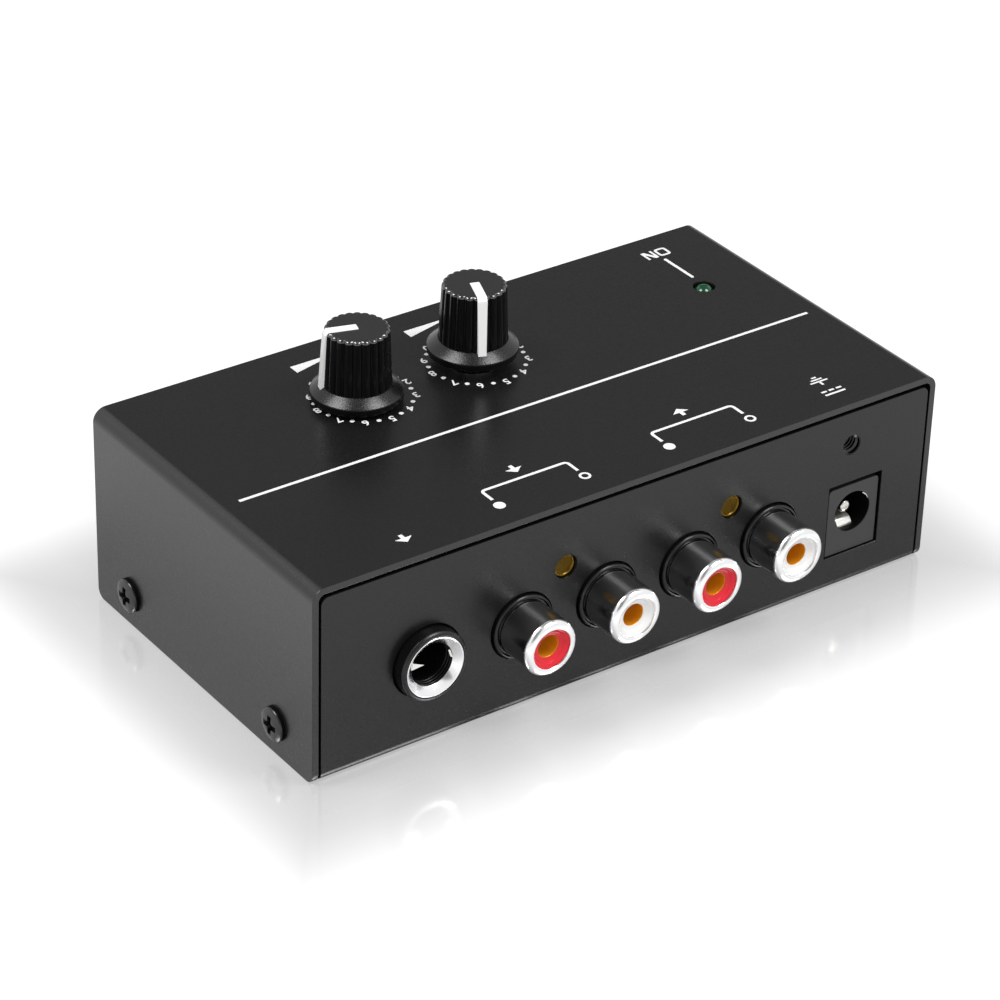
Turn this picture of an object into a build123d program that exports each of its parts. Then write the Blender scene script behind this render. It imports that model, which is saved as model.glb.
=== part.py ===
"""Phono preamp: a bent-steel case with rear sockets, a circuit board and two fluted knobs.

Millimetres. The origin is the centre of the case's underside, +Z is up, +Y points to the
rear connector panel, and +X is on the right of someone who stands at the front.
"""
import os
from math import cos, pi, sin

from build123d import *

# ---- Case: an inverted-U cover over an inset tray --------------------------------------
CASE_WIDTH = 104.0
CASE_DEPTH = 55.0
CASE_HEIGHT = 30.0
COVER_SHEET = 1.0
COVER_BEND_RADIUS = 2.0        # outside radius of the two long bends
SIDE_CORNER_RADIUS = 1.5       # lower corners of the cover's sides
TRAY_SHEET = 1.0
TRAY_BEND_RADIUS = 1.5         # outside radius
TRAY_SIDE_GAP = 0.35
TRAY_TOP_GAP = 0.55
PANEL_CORNER_RADIUS = 1.2      # upper corners of the front wall and rear panel
FLANGE_HEIGHT = 9.0            # side flanges that take the cover's screws
FLANGE_END_GAP = 2.5           # flange ends to the front wall and rear panel

# ---- Fasteners --------------------------------------------------------------------------
SCREW_THREAD = 3.0
SCREW_HEAD = 5.2
SCREW_HEAD_HEIGHT = 1.4
SCREW_HEAD_ROUNDING = 0.4
SCREW_LENGTH = 5.0
SCREW_HOLE = 3.4
THREAD_CLEARANCE = 0.05        # radial, between a plain shank and its plain hole
RECESS_WIDTH = 0.8
RECESS_SPAN = 3.0
RECESS_DEPTH = 0.8
COVER_SCREW_SPACING = 37.2     # along Y
COVER_SCREW_HEIGHT = 4.8

# ---- Circuit board ----------------------------------------------------------------------
STANDOFF_HEIGHT = 3.0
STANDOFF_DIAMETER = 5.0
BOARD_THICKNESS = 1.6
BOARD_SIDE_GAP = 3.6           # board to the flanges, past the tips of the cover's screws
BOARD_REAR_GAP = 0.5
BOARD_DEPTH = 46.5
BOARD_SCREW_LENGTH = 4.0
BOARD_SCREW_HEAD = 4.8
BOARD_SCREW_HEAD_HEIGHT = 1.3
BOARD_FIXINGS = (              # x, and distance in front of the board's rear edge
    (-34.0, 42.5),
    (34.0, 42.5),
    (-42.2, 19.5),
    (22.5, 18.5),
)
LEAD = 0.6                     # thickness of square component leads
LEAD_STUB = 0.8                # lead length left below the board
LEAD_HOLE = 1.0
SEAT = 0.04                    # radial clearance of round pieces pushed into one another

# ---- Sockets on the rear panel ----------------------------------------------------------
SOCKET_AXIS_RISE = 7.6         # round sockets' axis above the board
PANEL_HOLE_GAP = 0.25          # radial, round a socket's shoulder

PHONE_X = 34.1
PHONE_COLLAR = 10.4
PHONE_PROUD = 2.0
PHONE_BODY_WIDTH = 15.0
PHONE_BODY_HEIGHT = 15.2
PHONE_BODY_DEPTH = 26.5
PHONE_SOCKET_SETBACK = 0.3     # body's shoulder behind the rear panel
PHONE_BORE = 6.4
PHONE_GUIDE_LENGTH = 6.6         # moulded bore right behind the ferrule
PHONE_CAVITY = 7.2
FERRULE_TUBE = 8.2
FERRULE_HEAD = 9.0
FERRULE_HEAD_LENGTH = 1.4
FERRULE_LENGTH = 2.4
FERRULE_FUNNEL_DEPTH = 0.85
FERRULE_LIP = 0.15
PHONE_SPRING_WIDTH = 2.4
PHONE_SPRING_THICKNESS = 0.4
PHONE_SPRING_REACH = 2.8       # jack axis to the crest of a relaxed spring
PHONE_SPRING_SLOT_GAP = 0.3
TIP_SPRING_CREST = 4.8         # crest in front of the body's back
RING_SPRING_CREST = 10.6

RCA_PITCH = 14.0
OUTPUT_PAIR_X = 11.85
INPUT_PAIR_X = -16.15
RCA_PAIRS = {"output": OUTPUT_PAIR_X, "input": INPUT_PAIR_X}
RCA_SHELL = 8.3
RCA_SHELL_WALL = 0.45
RCA_SHELL_ROOT = 7.9           # outside diameter within the housing
RCA_PROUD = 7.0
RCA_LIP_BORE = 5.9
RCA_LIP_ROLL = 0.9             # outside radius of the rolled rim
RCA_LIP_THICKNESS = 0.4
RCA_SHELL_DEPTH = 8.5          # shell behind the panel's outer face
RCA_SHOULDER = 9.6
RCA_SHOULDER_PROUD = 0.6
RCA_SHOULDER_CHAMFER = 0.2
RCA_PIN_BORE = 3.3
RCA_CONTACT_WALL = 0.4
RCA_DISH_DEPTH = 1.1
RCA_CONTACT_INSET = 0.1        # contact's mouth behind the bottom of the dish
RCA_CONTACT_LENGTH = 11.0
RCA_HOUSING_WIDTH = 24.4
RCA_HOUSING_DEPTH = 11.0
RCA_HOUSING_TOP = 5.5          # housing above the socket axis
RCA_PLATE_THICKNESS = 0.8
RCA_PLATE_HOLE_GAP = 0.3        # radial, round a shoulder
RCA_PLATE_WIDTH = 21.0
RCA_PLATE_DROP = 5.6           # plate below the socket axis
RCA_TAB_WIDTH = 7.0
RCA_TAB_RISE = 9.4             # top of the plate's tab above the socket axis
PLATE_HOLE_RISE = 6.8          # small panel hole above the socket axis
PLATE_HOLE = 3.6
PLATE_DIMPLE = 2.8
PLATE_DIMPLE_DEPTH = 0.5

DC_X = -38.5
DC_WIDTH = 9.0
DC_HEIGHT = 10.8
DC_DEPTH = 14.0
DC_FACE_RECESS = 0.25
DC_CORNER_RADIUS = 0.7
DC_AXIS_RISE = 6.25
DC_BORE = 6.3
DC_BORE_DEPTH = 9.0
DC_OPENING_SIDE_GAP = 0.3
DC_OPENING_TOP_GAP = 0.75
DC_OPENING_FOOT_GAP = 0.15
DC_PIN = 2.0
DC_PIN_RECESS = 1.3            # pin's tip behind the inlet's face
DC_PIN_NOSE_RADIUS = 0.9
DC_SPRING_WIDTH = 2.6
DC_SPRING_THICKNESS = 0.3
DC_SPRING_RISE = 0.9           # crest above the part that lies flat
DC_SPRING_FLAT = 5.5           # length of the part that lies flat

GROUND_X = -37.15
GROUND_DROP = 5.25             # below the panel's top edge
GROUND_THREAD_BORE = 2.5
GROUND_HOLE = 3.1
GROUND_NUT_ACROSS_FLATS = 6.0
GROUND_NUT_LENGTH = 3.2

# ---- Controls ---------------------------------------------------------------------------
KNOB_SETBACK = 36.7            # board's rear edge to the line of the knobs and the lamp
SHAFT = 6.0
SHAFT_FLAT = 4.5               # flat to the far side of the shaft
SHAFT_ENGAGEMENT = 6.6         # shaft inside the lower knob
COVER_SHAFT_HOLE = 7.6
RUNNING_CLEARANCE = 0.05
POT_WIDTH = 9.8
POT_DEPTH = 11.8
POT_BODY_HEIGHT = 9.5
POT_DECK_GROOVE = 0.4
POT_FRAME_SHEET = 0.8
POT_BUSHING = 8.0
POT_BUSHING_HEIGHT = 3.0
POT_JOURNAL = 4.0
POT_JOURNAL_DEPTH = 6.0
POT_TERMINAL_PITCH = 2.5
POT_TERMINAL_REACH = 0.9       # lower terminals in front of the body
POT_TERMINAL_ROW_GAP = 1.8

KNOB_HEIGHT = 10.5
SKIRT_DIAMETER = 13.0
SKIRT_RIM_HEIGHT = 1.0
SKIRT_CONE_HEIGHT = 1.1
SKIRT_WALL = 0.8
GRIP_BASE_DIAMETER = 9.9
GRIP_TOP_DIAMETER = 9.1
GRIP_FLUTES = 22
FLUTE_DEPTH = 0.3
GRIP_EDGE_BEVEL = 0.3
KNOB_HUB = 8.4
POINTER_TOP_WIDTH = 1.4
POINTER_FOOT_WIDTH = 1.2
POINTER_PROUD = 0.25            # at the top edge
POINTER_FOOT_PROUD = 0.45
POINTER_TOP_PROUD = 0.1
POINTER_INLAY = 0.7
POINTER_FOOT_HEIGHT = 1.7      # pointer's lower end above the skirt's underside
LEVEL_X = 0.6
LEVEL_LIFT = 1.8               # skirt above the cover
LEVEL_TURN = 21.0              # pointer, degrees clockwise from +Y
VOLUME_X = 20.0
VOLUME_LIFT = 0.6
VOLUME_TURN = 107.0
KNOBS = {
    "level": (LEVEL_X, LEVEL_LIFT, LEVEL_TURN),
    "volume": (VOLUME_X, VOLUME_LIFT, VOLUME_TURN),
}

# ---- Power lamp -------------------------------------------------------------------------
LED_X = -40.45
LED_DIAMETER = 3.0
LED_LENGTH = 5.4
LED_FLANGE = 3.8
LED_FLANGE_HEIGHT = 1.0
LED_RECESS = 0.2               # tip below the cover's top face
LED_HOLE_GAP = 0.15
LED_LEAD_PITCH = 2.54
SPACER_DIAMETER = 5.0
SPACER_BORE = 3.4

# ---- Parts on the board: x, and distance in front of the board's rear edge ---------------
CHIP_SIZE = (9.8, 6.4, 3.3)
CHIP_LIFT = 0.5
CHIP_LEADS_PER_SIDE = 4
CHIP_LEAD_PITCH = 2.54
CHIP_LEAD_SPAN = 7.8
CHIP_NOTCH = 1.2
CHIPS = ((-16.0, 21.0), (4.0, 21.0))
CAPACITOR_DIAMETER = 5.0
CAPACITOR_HEIGHT = 11.0
CAPACITORS = (
    (-25.5, 40.5),
    (-19.0, 40.5),
    (-13.0, 40.5),
    (10.0, 40.5),
    (10.0, 34.5),
    (41.0, 34.0),
)
SUPPLY_CAPACITOR_DIAMETER = 8.0
SUPPLY_CAPACITOR_HEIGHT = 12.0
SUPPLY_CAPACITORS = ((-30.5, 22.5), (-30.5, 32.0))
CAPACITOR_EDGE_BEVEL = 0.4
FILM_CAPACITOR_SIZE = (7.2, 2.6, 7.5)
FILM_CAPACITORS = ((-22.0, 14.5), (-9.5, 14.5), (3.0, 14.5), (13.5, 14.5))
AXIAL_SPAN = 9.0
RESISTOR_DIAMETER = 2.2
RESISTOR_LENGTH = 6.0
RESISTORS = ((-22.5, 31.0), (-19.0, 31.0), (-15.5, 31.0), (-12.0, 31.0), (-8.5, 31.0),
             (28.0, 34.0), (31.5, 34.0), (35.0, 34.0))
DIODE_DIAMETER = 2.6
DIODE_LENGTH = 5.0
DIODE_PLACE = (-36.8, 28.5)
REGULATOR_PLACE = (-41.3, 28.5)
REGULATOR_WIDTH = 4.6
REGULATOR_FLAT = 1.3           # flat face to the axis
REGULATOR_HEIGHT = 4.6
REGULATOR_STANDING = 2.5
REGULATOR_LEAD_PITCH = 1.6

# ---- Levels and faces that several pieces share -----------------------------------------
REAR_FACE = CASE_DEPTH / 2
REAR_INNER = REAR_FACE - TRAY_SHEET
COVER_UNDER = CASE_HEIGHT - COVER_SHEET
TRAY_WIDTH = CASE_WIDTH - 2 * (COVER_SHEET + TRAY_SIDE_GAP)
TRAY_HEIGHT = COVER_UNDER - TRAY_TOP_GAP
BOARD_UNDER = TRAY_SHEET + STANDOFF_HEIGHT
BOARD_TOP = BOARD_UNDER + BOARD_THICKNESS
BOARD_WIDTH = TRAY_WIDTH - 2 * (TRAY_SHEET + BOARD_SIDE_GAP)
BOARD_REAR = REAR_INNER - BOARD_REAR_GAP
BOARD_FRONT = BOARD_REAR - BOARD_DEPTH
LEAD_END = BOARD_UNDER - LEAD_STUB
SOCKET_AXIS = BOARD_TOP + SOCKET_AXIS_RISE
KNOB_Y = BOARD_REAR - KNOB_SETBACK
DC_AXIS = BOARD_TOP + DC_AXIS_RISE
DC_FACE = REAR_FACE - DC_FACE_RECESS
GROUND_AXIS = TRAY_HEIGHT - GROUND_DROP
LED_BASE = CASE_HEIGHT - LED_RECESS - LED_LENGTH
LED_HOLE = LED_DIAMETER + 2 * LED_HOLE_GAP
POT_TOP = BOARD_TOP + POT_BODY_HEIGHT
SHAFT_TOP = CASE_HEIGHT + min(lift for _, lift, _ in KNOBS.values()) + SHAFT_ENGAGEMENT


# ---- Small makers of shapes -------------------------------------------------------------
def block(x, y, z):
    """Box between the two limits given for each axis."""
    size = (x[1] - x[0], y[1] - y[0], z[1] - z[0])
    return Pos(x[0], y[0], z[0]) * Box(*size, align=(Align.MIN, Align.MIN, Align.MIN))


def post(diameter, z, x, y):
    """Cylinder along Z between the limits z."""
    upright = (Align.CENTER, Align.CENTER, Align.MIN)
    return Pos(x, y, z[0]) * Cylinder(diameter / 2, z[1] - z[0], align=upright)


def towards_rear(shape, x, y, z):
    """Place a shape made along +Z so that it points along +Y."""
    return Pos(x, y, z) * Rot(-90, 0, 0) * shape


def towards_side(shape, x, y, z, side):
    """Place a shape made along +Z so that it points along +X (side 1) or -X (side -1)."""
    return Pos(x, y, z) * Rot(0, 90 * side, 0) * shape


def bar(diameter, y, x, z):
    """Cylinder along Y between the limits y."""
    return towards_rear(post(diameter, (0, y[1] - y[0]), 0, 0), x, y[0], z)


def turned(outline):
    """Solid of revolution about Z of a closed outline in radius and height."""
    return revolve(make_face((Plane.XZ * outline).edges()), Axis.Z)


def bent_channel(length, height, width, sheet, bend):
    """Sheet bent to a U that opens upwards: its floor lies at z = 0 and it runs along Y."""
    outer = Pos(0, height / 2) * Rectangle(width, height)
    outer = fillet(outer.vertices().sort_by(Axis.Y)[:2], bend)
    inner = Pos(0, (height + sheet) / 2) * Rectangle(width - 2 * sheet, height - sheet)
    inner = fillet(inner.vertices().sort_by(Axis.Y)[:2], max(bend - sheet, sheet / 10))
    return extrude(Plane.XZ * (outer - inner), length / 2, both=True)


def strip(points, thickness, width, bend):
    """Strip of spring sheet along a bent line in the XY plane, centred on z = 0."""
    line = FilletPolyline(*points, radius=bend)
    return extrude(trace(line, thickness), width / 2, both=True)


def joined(shapes):
    """One group node out of separate solids."""
    return Compound(children=[solid for shape in shapes for solid in shape.solids()])


# ---- Fasteners --------------------------------------------------------------------------
def pan_screw(length):
    """Cross-recess pan-head screw: its head rises from z = 0, its shank hangs below."""
    head = post(SCREW_HEAD, (0, SCREW_HEAD_HEIGHT), 0, 0)
    head = fillet(head.edges().filter_by(GeomType.CIRCLE).sort_by(Axis.Z)[-1], SCREW_HEAD_ROUNDING)
    screw = head + post(SCREW_THREAD, (-length, 0), 0, 0)
    for angle in (0, 90):
        slot = Box(RECESS_SPAN, RECESS_WIDTH, RECESS_DEPTH, align=(Align.CENTER, Align.CENTER, Align.MAX))
        screw -= Pos(0, 0, SCREW_HEAD_HEIGHT) * Rot(0, 0, angle) * slot
    return screw


def cover_screw_places():
    """Side (1 or -1) and Y of each screw in the cover's sides."""
    return [(side, y) for side in (1, -1) for y in (-COVER_SCREW_SPACING / 2, COVER_SCREW_SPACING / 2)]


def board_fixing_places():
    """X and Y of each standoff under the board."""
    return [on_board(*place) for place in BOARD_FIXINGS]


def on_board(x, setback):
    """X and Y of a place given by its distance in front of the board's rear edge."""
    return x, BOARD_REAR - setback


def cover_screws():
    screw = pan_screw(SCREW_LENGTH)
    return joined([towards_side(screw, side * CASE_WIDTH / 2, y, COVER_SCREW_HEIGHT, side)
                   for side, y in cover_screw_places()])


def board_standoffs():
    bore = SCREW_THREAD + 2 * THREAD_CLEARANCE
    return joined([post(STANDOFF_DIAMETER, (TRAY_SHEET, BOARD_UNDER), x, y)
                   - post(bore, (TRAY_SHEET, BOARD_UNDER), x, y) for x, y in board_fixing_places()])


def board_screws():
    """Plain cheese-head screws through the board into the standoffs."""
    head = (BOARD_TOP, BOARD_TOP + BOARD_SCREW_HEAD_HEIGHT)
    shank = (BOARD_TOP - BOARD_SCREW_LENGTH, BOARD_TOP)
    return joined([post(BOARD_SCREW_HEAD, head, x, y) + post(SCREW_THREAD, shank, x, y)
                   for x, y in board_fixing_places()])


# ---- Case -------------------------------------------------------------------------------
def top_cover():
    cover = bent_channel(CASE_DEPTH, CASE_HEIGHT, CASE_WIDTH, COVER_SHEET, COVER_BEND_RADIUS)
    cover = Pos(0, 0, CASE_HEIGHT) * Rot(0, 180, 0) * cover
    lower_corners = cover.edges().filter_by(Axis.X).group_by(Axis.Z)[0]
    cover = fillet(lower_corners, SIDE_CORNER_RADIUS)
    through = (COVER_UNDER - COVER_SHEET, CASE_HEIGHT + COVER_SHEET)
    for x, _, _ in KNOBS.values():
        cover -= post(COVER_SHAFT_HOLE, through, x, KNOB_Y)
    cover -= post(LED_HOLE, through, LED_X, KNOB_Y)
    for side, y in cover_screw_places():
        hole = post(SCREW_HOLE, (-2 * COVER_SHEET, COVER_SHEET), 0, 0)
        cover -= towards_side(hole, side * CASE_WIDTH / 2, y, COVER_SCREW_HEIGHT, side)
    return cover


def base_tray():
    walls = Rot(0, 0, 90) * bent_channel(TRAY_WIDTH, TRAY_HEIGHT, CASE_DEPTH, TRAY_SHEET, TRAY_BEND_RADIUS)
    upper_corners = walls.edges().filter_by(Axis.Y).group_by(Axis.Z)[-1]
    walls = fillet(upper_corners, PANEL_CORNER_RADIUS)
    flange_length = 2 * (REAR_INNER - FLANGE_END_GAP)
    tray = walls + bent_channel(flange_length, FLANGE_HEIGHT, TRAY_WIDTH, TRAY_SHEET, TRAY_BEND_RADIUS)
    thread = SCREW_THREAD + 2 * THREAD_CLEARANCE
    for side, y in cover_screw_places():
        hole = post(thread, (-2 * TRAY_SHEET, TRAY_SHEET), 0, 0)
        tray -= towards_side(hole, side * TRAY_WIDTH / 2, y, COVER_SCREW_HEIGHT, side)
    return tray - rear_panel_cutouts()


def rear_panel_cutouts():
    through = (REAR_INNER - TRAY_SHEET, REAR_FACE + TRAY_SHEET)
    cutouts = [bar(PHONE_COLLAR + 2 * PANEL_HOLE_GAP, through, PHONE_X, SOCKET_AXIS),
               bar(GROUND_HOLE, through, GROUND_X, GROUND_AXIS)]
    for middle in RCA_PAIRS.values():
        cutouts.append(bar(PLATE_HOLE, through, middle, SOCKET_AXIS + PLATE_HOLE_RISE))
        for x in rca_axes(middle):
            cutouts.append(bar(RCA_SHOULDER + 2 * PANEL_HOLE_GAP, through, x, SOCKET_AXIS))
    half_width = DC_WIDTH / 2 + DC_OPENING_SIDE_GAP
    cutouts.append(block((DC_X - half_width, DC_X + half_width), through,
                         (BOARD_TOP - DC_OPENING_FOOT_GAP, BOARD_TOP + DC_HEIGHT + DC_OPENING_TOP_GAP)))
    return cutouts


# ---- Phone jack -------------------------------------------------------------------------
def phone_jack_back():
    """Y of the open back of the jack's body."""
    return REAR_INNER - PHONE_SOCKET_SETBACK - PHONE_BODY_DEPTH


def phone_spring_places():
    """Side of the bore, and Y of the crest, of each contact spring."""
    back = phone_jack_back()
    return [(1, back + TIP_SPRING_CREST), (-1, back + RING_SPRING_CREST)]


def phone_spring_slot_depth():
    """Jack axis to the floor of a spring's slot."""
    return PHONE_CAVITY / 2 + PHONE_SPRING_THICKNESS + PHONE_SPRING_SLOT_GAP


def phone_jack_body():
    front = REAR_INNER - PHONE_SOCKET_SETBACK
    back = phone_jack_back()
    mouth = REAR_FACE + PHONE_PROUD
    half = PHONE_BODY_WIDTH / 2
    body = block((PHONE_X - half, PHONE_X + half), (back, front), (BOARD_TOP, BOARD_TOP + PHONE_BODY_HEIGHT))
    body += bar(PHONE_COLLAR, (front, mouth), PHONE_X, SOCKET_AXIS)
    rim = body.edges().filter_by(GeomType.CIRCLE).sort_by(Axis.Y)[-1]
    body = chamfer(rim, (PHONE_COLLAR - FERRULE_HEAD) / 4)
    guide = mouth - FERRULE_LENGTH - PHONE_GUIDE_LENGTH
    body -= bar(PHONE_CAVITY, (back, guide), PHONE_X, SOCKET_AXIS)
    body -= bar(PHONE_BORE, (guide, mouth), PHONE_X, SOCKET_AXIS)
    body -= bar(FERRULE_TUBE + 2 * SEAT, (mouth - FERRULE_LENGTH, mouth), PHONE_X, SOCKET_AXIS)
    body -= bar(FERRULE_HEAD + 2 * SEAT, (mouth - FERRULE_HEAD_LENGTH, mouth), PHONE_X, SOCKET_AXIS)
    slot_half = PHONE_SPRING_WIDTH / 2 + PHONE_SPRING_SLOT_GAP
    for side, crest in phone_spring_places():
        outer = side * (phone_spring_slot_depth() + PHONE_SPRING_SLOT_GAP)
        limits = sorted((PHONE_X, PHONE_X + outer))
        body -= block(limits, (back, 2 * crest - back), (SOCKET_AXIS - slot_half, SOCKET_AXIS + slot_half))
    return body


def phone_jack_ferrule():
    """Turned bush whose funnel guides the plug."""
    tube = FERRULE_TUBE / 2
    head = FERRULE_HEAD / 2
    bore = PHONE_BORE / 2
    outline = Polyline(
        (bore, 0), (tube, 0), (tube, FERRULE_LENGTH - FERRULE_HEAD_LENGTH),
        (head, FERRULE_LENGTH - FERRULE_HEAD_LENGTH), (head, FERRULE_LENGTH - FERRULE_LIP),
        (head - FERRULE_LIP, FERRULE_LENGTH), (head - 2 * FERRULE_LIP, FERRULE_LENGTH),
        (bore, FERRULE_LENGTH - FERRULE_FUNNEL_DEPTH), close=True)
    return towards_rear(turned(outline), PHONE_X, REAR_FACE + PHONE_PROUD - FERRULE_LENGTH, SOCKET_AXIS)


def phone_jack_springs():
    """Tip and ring springs: each rises to a crest in the bore and ends in a leg behind the body."""
    back = phone_jack_back()
    springs = []
    for side, crest in phone_spring_places():
        rest = phone_spring_slot_depth() - PHONE_SPRING_THICKNESS / 2
        top = PHONE_SPRING_REACH + PHONE_SPRING_THICKNESS / 2
        end = back - PHONE_SPRING_THICKNESS
        half_bow = (crest - back) / 2
        points = [(side * rest, end), (side * rest, crest - half_bow), (side * top, crest),
                  (side * rest, crest + half_bow)]
        spring = strip(points, PHONE_SPRING_THICKNESS, PHONE_SPRING_WIDTH, PHONE_SPRING_THICKNESS)
        half = PHONE_SPRING_THICKNESS / 2
        leg_x = sorted((side * (rest - half), side * (rest + half)))
        leg = block(leg_x, (end - LEAD, end), (LEAD_END - SOCKET_AXIS, PHONE_SPRING_WIDTH / 2))
        springs.append(Pos(PHONE_X, 0, SOCKET_AXIS) * (spring + leg))
    return joined(springs)


# ---- RCA jacks --------------------------------------------------------------------------
def rca_axes(middle):
    """X of a pair's two sockets, the right channel first."""
    return middle + RCA_PITCH / 2, middle - RCA_PITCH / 2


def rca_contact_mouth():
    """Mouth of the centre contact, measured from the panel's outer face."""
    return RCA_PROUD - RCA_LIP_THICKNESS - RCA_DISH_DEPTH - RCA_CONTACT_INSET


def rca_leg_face():
    """Y of the front of a centre contact's leg."""
    return REAR_INNER - RCA_PLATE_THICKNESS - RCA_HOUSING_DEPTH + 3 * LEAD


def rca_housing(middle):
    front = REAR_INNER - RCA_PLATE_THICKNESS
    back = front - RCA_HOUSING_DEPTH
    half = RCA_HOUSING_WIDTH / 2
    housing = block((middle - half, middle + half), (back, front), (BOARD_TOP, SOCKET_AXIS + RCA_HOUSING_TOP))
    for x in rca_axes(middle):
        housing += bar(RCA_SHOULDER, (front, REAR_FACE + RCA_SHOULDER_PROUD), x, SOCKET_AXIS)
    rims = housing.edges().filter_by(GeomType.CIRCLE).group_by(Axis.Y)[-1]
    housing = chamfer(rims, RCA_SHOULDER_CHAMFER)
    for x in rca_axes(middle):
        bore_end = REAR_FACE - RCA_SHELL_DEPTH
        housing -= bar(RCA_SHELL_ROOT + 2 * SEAT, (bore_end, REAR_FACE + RCA_SHOULDER_PROUD), x, SOCKET_AXIS)
        housing -= block((x - LEAD, x + LEAD), (back, bore_end), (BOARD_TOP, SOCKET_AXIS + LEAD))
    return housing


def rca_shells(middle):
    """Drawn chrome shells with the front edge rolled inwards."""
    outer = RCA_SHELL / 2
    root = RCA_SHELL_ROOT / 2
    inner = outer - RCA_SHELL_WALL
    lip = RCA_LIP_BORE / 2
    seat = RCA_PROUD - RCA_LIP_THICKNESS
    back = -RCA_SHELL_DEPTH
    shell = turned(Polyline((root, back), (root, RCA_SHOULDER_PROUD), (outer, RCA_SHOULDER_PROUD),
                            (outer, RCA_PROUD), (lip, RCA_PROUD), (lip, seat), (inner, seat), (inner, back),
                            close=True))
    shell = fillet(shell.edges().filter_by(GeomType.CIRCLE).group_by(Axis.Z)[-1].sort_by(SortBy.RADIUS)[-1],
                   RCA_LIP_ROLL)
    return joined([towards_rear(shell, x, REAR_FACE, SOCKET_AXIS) for x in rca_axes(middle)])


def rca_insulator(x):
    """Plastic core with a dished face round the pin's hole."""
    outer = RCA_SHELL / 2 - RCA_SHELL_WALL - SEAT
    lip = RCA_LIP_BORE / 2
    hole = RCA_PIN_BORE / 2 + SEAT
    seat = RCA_PROUD - RCA_LIP_THICKNESS
    dish_end = seat - RCA_DISH_DEPTH
    contact = RCA_PIN_BORE / 2 + RCA_CONTACT_WALL + SEAT
    mouth = rca_contact_mouth()
    outline = Line((contact, -RCA_SHELL_DEPTH), (outer, -RCA_SHELL_DEPTH))
    outline += Polyline((outer, -RCA_SHELL_DEPTH), (outer, seat), (lip, seat))
    outline += RadiusArc((lip, seat), (hole, dish_end), RCA_LIP_BORE / 2)
    outline += Polyline((hole, dish_end), (hole, mouth), (contact, mouth), (contact, -RCA_SHELL_DEPTH))
    return towards_rear(turned(outline), x, REAR_FACE, SOCKET_AXIS)


def rca_contacts(middle):
    """Tubular centre contacts, each with a tail that turns down to the board."""
    bore = RCA_PIN_BORE / 2
    outer = bore + RCA_CONTACT_WALL
    mouth = rca_contact_mouth()
    back = mouth - RCA_CONTACT_LENGTH
    outline = Polyline((0, back - RCA_CONTACT_WALL), (outer, back - RCA_CONTACT_WALL), (outer, mouth),
                       (bore, mouth), (bore, back), (0, back), close=True)
    tube = turned(outline)
    contacts = []
    for x in rca_axes(middle):
        leg = rca_leg_face()
        tail = block((x - LEAD / 2, x + LEAD / 2), (leg - LEAD, REAR_FACE + back - RCA_CONTACT_WALL / 2),
                     (SOCKET_AXIS - LEAD / 2, SOCKET_AXIS + LEAD / 2))
        tail += block((x - LEAD / 2, x + LEAD / 2), (leg - LEAD, leg), (LEAD_END, SOCKET_AXIS + LEAD / 2))
        contacts.append(towards_rear(tube, x, REAR_FACE, SOCKET_AXIS) + tail)
    return joined(contacts)


def rca_plate(middle):
    """Brass plate clamped behind the panel, with a blind dimple behind the small panel hole."""
    front = REAR_INNER
    back = front - RCA_PLATE_THICKNESS
    half = RCA_PLATE_WIDTH / 2
    tab = RCA_TAB_WIDTH / 2
    hole_z = SOCKET_AXIS + PLATE_HOLE_RISE
    plate = block((middle - half, middle + half), (back, front),
                  (SOCKET_AXIS - RCA_PLATE_DROP, SOCKET_AXIS + RCA_HOUSING_TOP))
    plate += block((middle - tab, middle + tab), (back, front), (SOCKET_AXIS, SOCKET_AXIS + RCA_TAB_RISE))
    plate -= bar(PLATE_DIMPLE, (front - PLATE_DIMPLE_DEPTH, front), middle, hole_z)
    for x in rca_axes(middle):
        plate -= bar(RCA_SHOULDER + 2 * RCA_PLATE_HOLE_GAP, (back, front), x, SOCKET_AXIS)
    return plate


# ---- DC inlet and ground terminal -------------------------------------------------------
def dc_spring_tail():
    """Y of the leaf spring's tail."""
    return DC_FACE - DC_BORE_DEPTH


def dc_inlet_body():
    half = DC_WIDTH / 2
    back = DC_FACE - DC_DEPTH
    body = block((DC_X - half, DC_X + half), (back, DC_FACE), (BOARD_TOP, BOARD_TOP + DC_HEIGHT))
    upper = body.edges().filter_by(Axis.Y).group_by(Axis.Z)[-1]
    body = fillet(upper, DC_CORNER_RADIUS)
    body -= bar(DC_BORE, (DC_FACE - DC_BORE_DEPTH, DC_FACE), DC_X, DC_AXIS)
    pin_hole = DC_PIN + 2 * SEAT
    body -= bar(pin_hole, (back, DC_FACE - DC_BORE_DEPTH), DC_X, DC_AXIS)
    slot = DC_SPRING_WIDTH / 2 + SEAT
    floor = DC_AXIS - DC_BORE / 2 - DC_SPRING_THICKNESS - SEAT
    body -= block((DC_X - slot, DC_X + slot), (back, DC_FACE - DC_PIN_RECESS), (floor, DC_AXIS - DC_PIN))
    tail = LEAD_HOLE / 2
    tail_y = dc_spring_tail()
    return body - block((DC_X - tail, DC_X + tail), (tail_y - tail, tail_y + tail), (BOARD_TOP, floor))


def dc_inlet_pin():
    """Centre pin with a rounded tip, and a tail that turns down behind the body."""
    tip = DC_FACE - DC_PIN_RECESS
    pin = bar(DC_PIN, (DC_FACE - DC_DEPTH - SEAT - LEAD, tip), DC_X, DC_AXIS)
    nose = pin.edges().filter_by(GeomType.CIRCLE).sort_by(Axis.Y)[-1]
    pin = fillet(nose, DC_PIN_NOSE_RADIUS)
    back = DC_FACE - DC_DEPTH - SEAT
    return pin + block((DC_X - DC_PIN / 2, DC_X + DC_PIN / 2), (back - LEAD, back), (LEAD_END, DC_AXIS))


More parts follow.
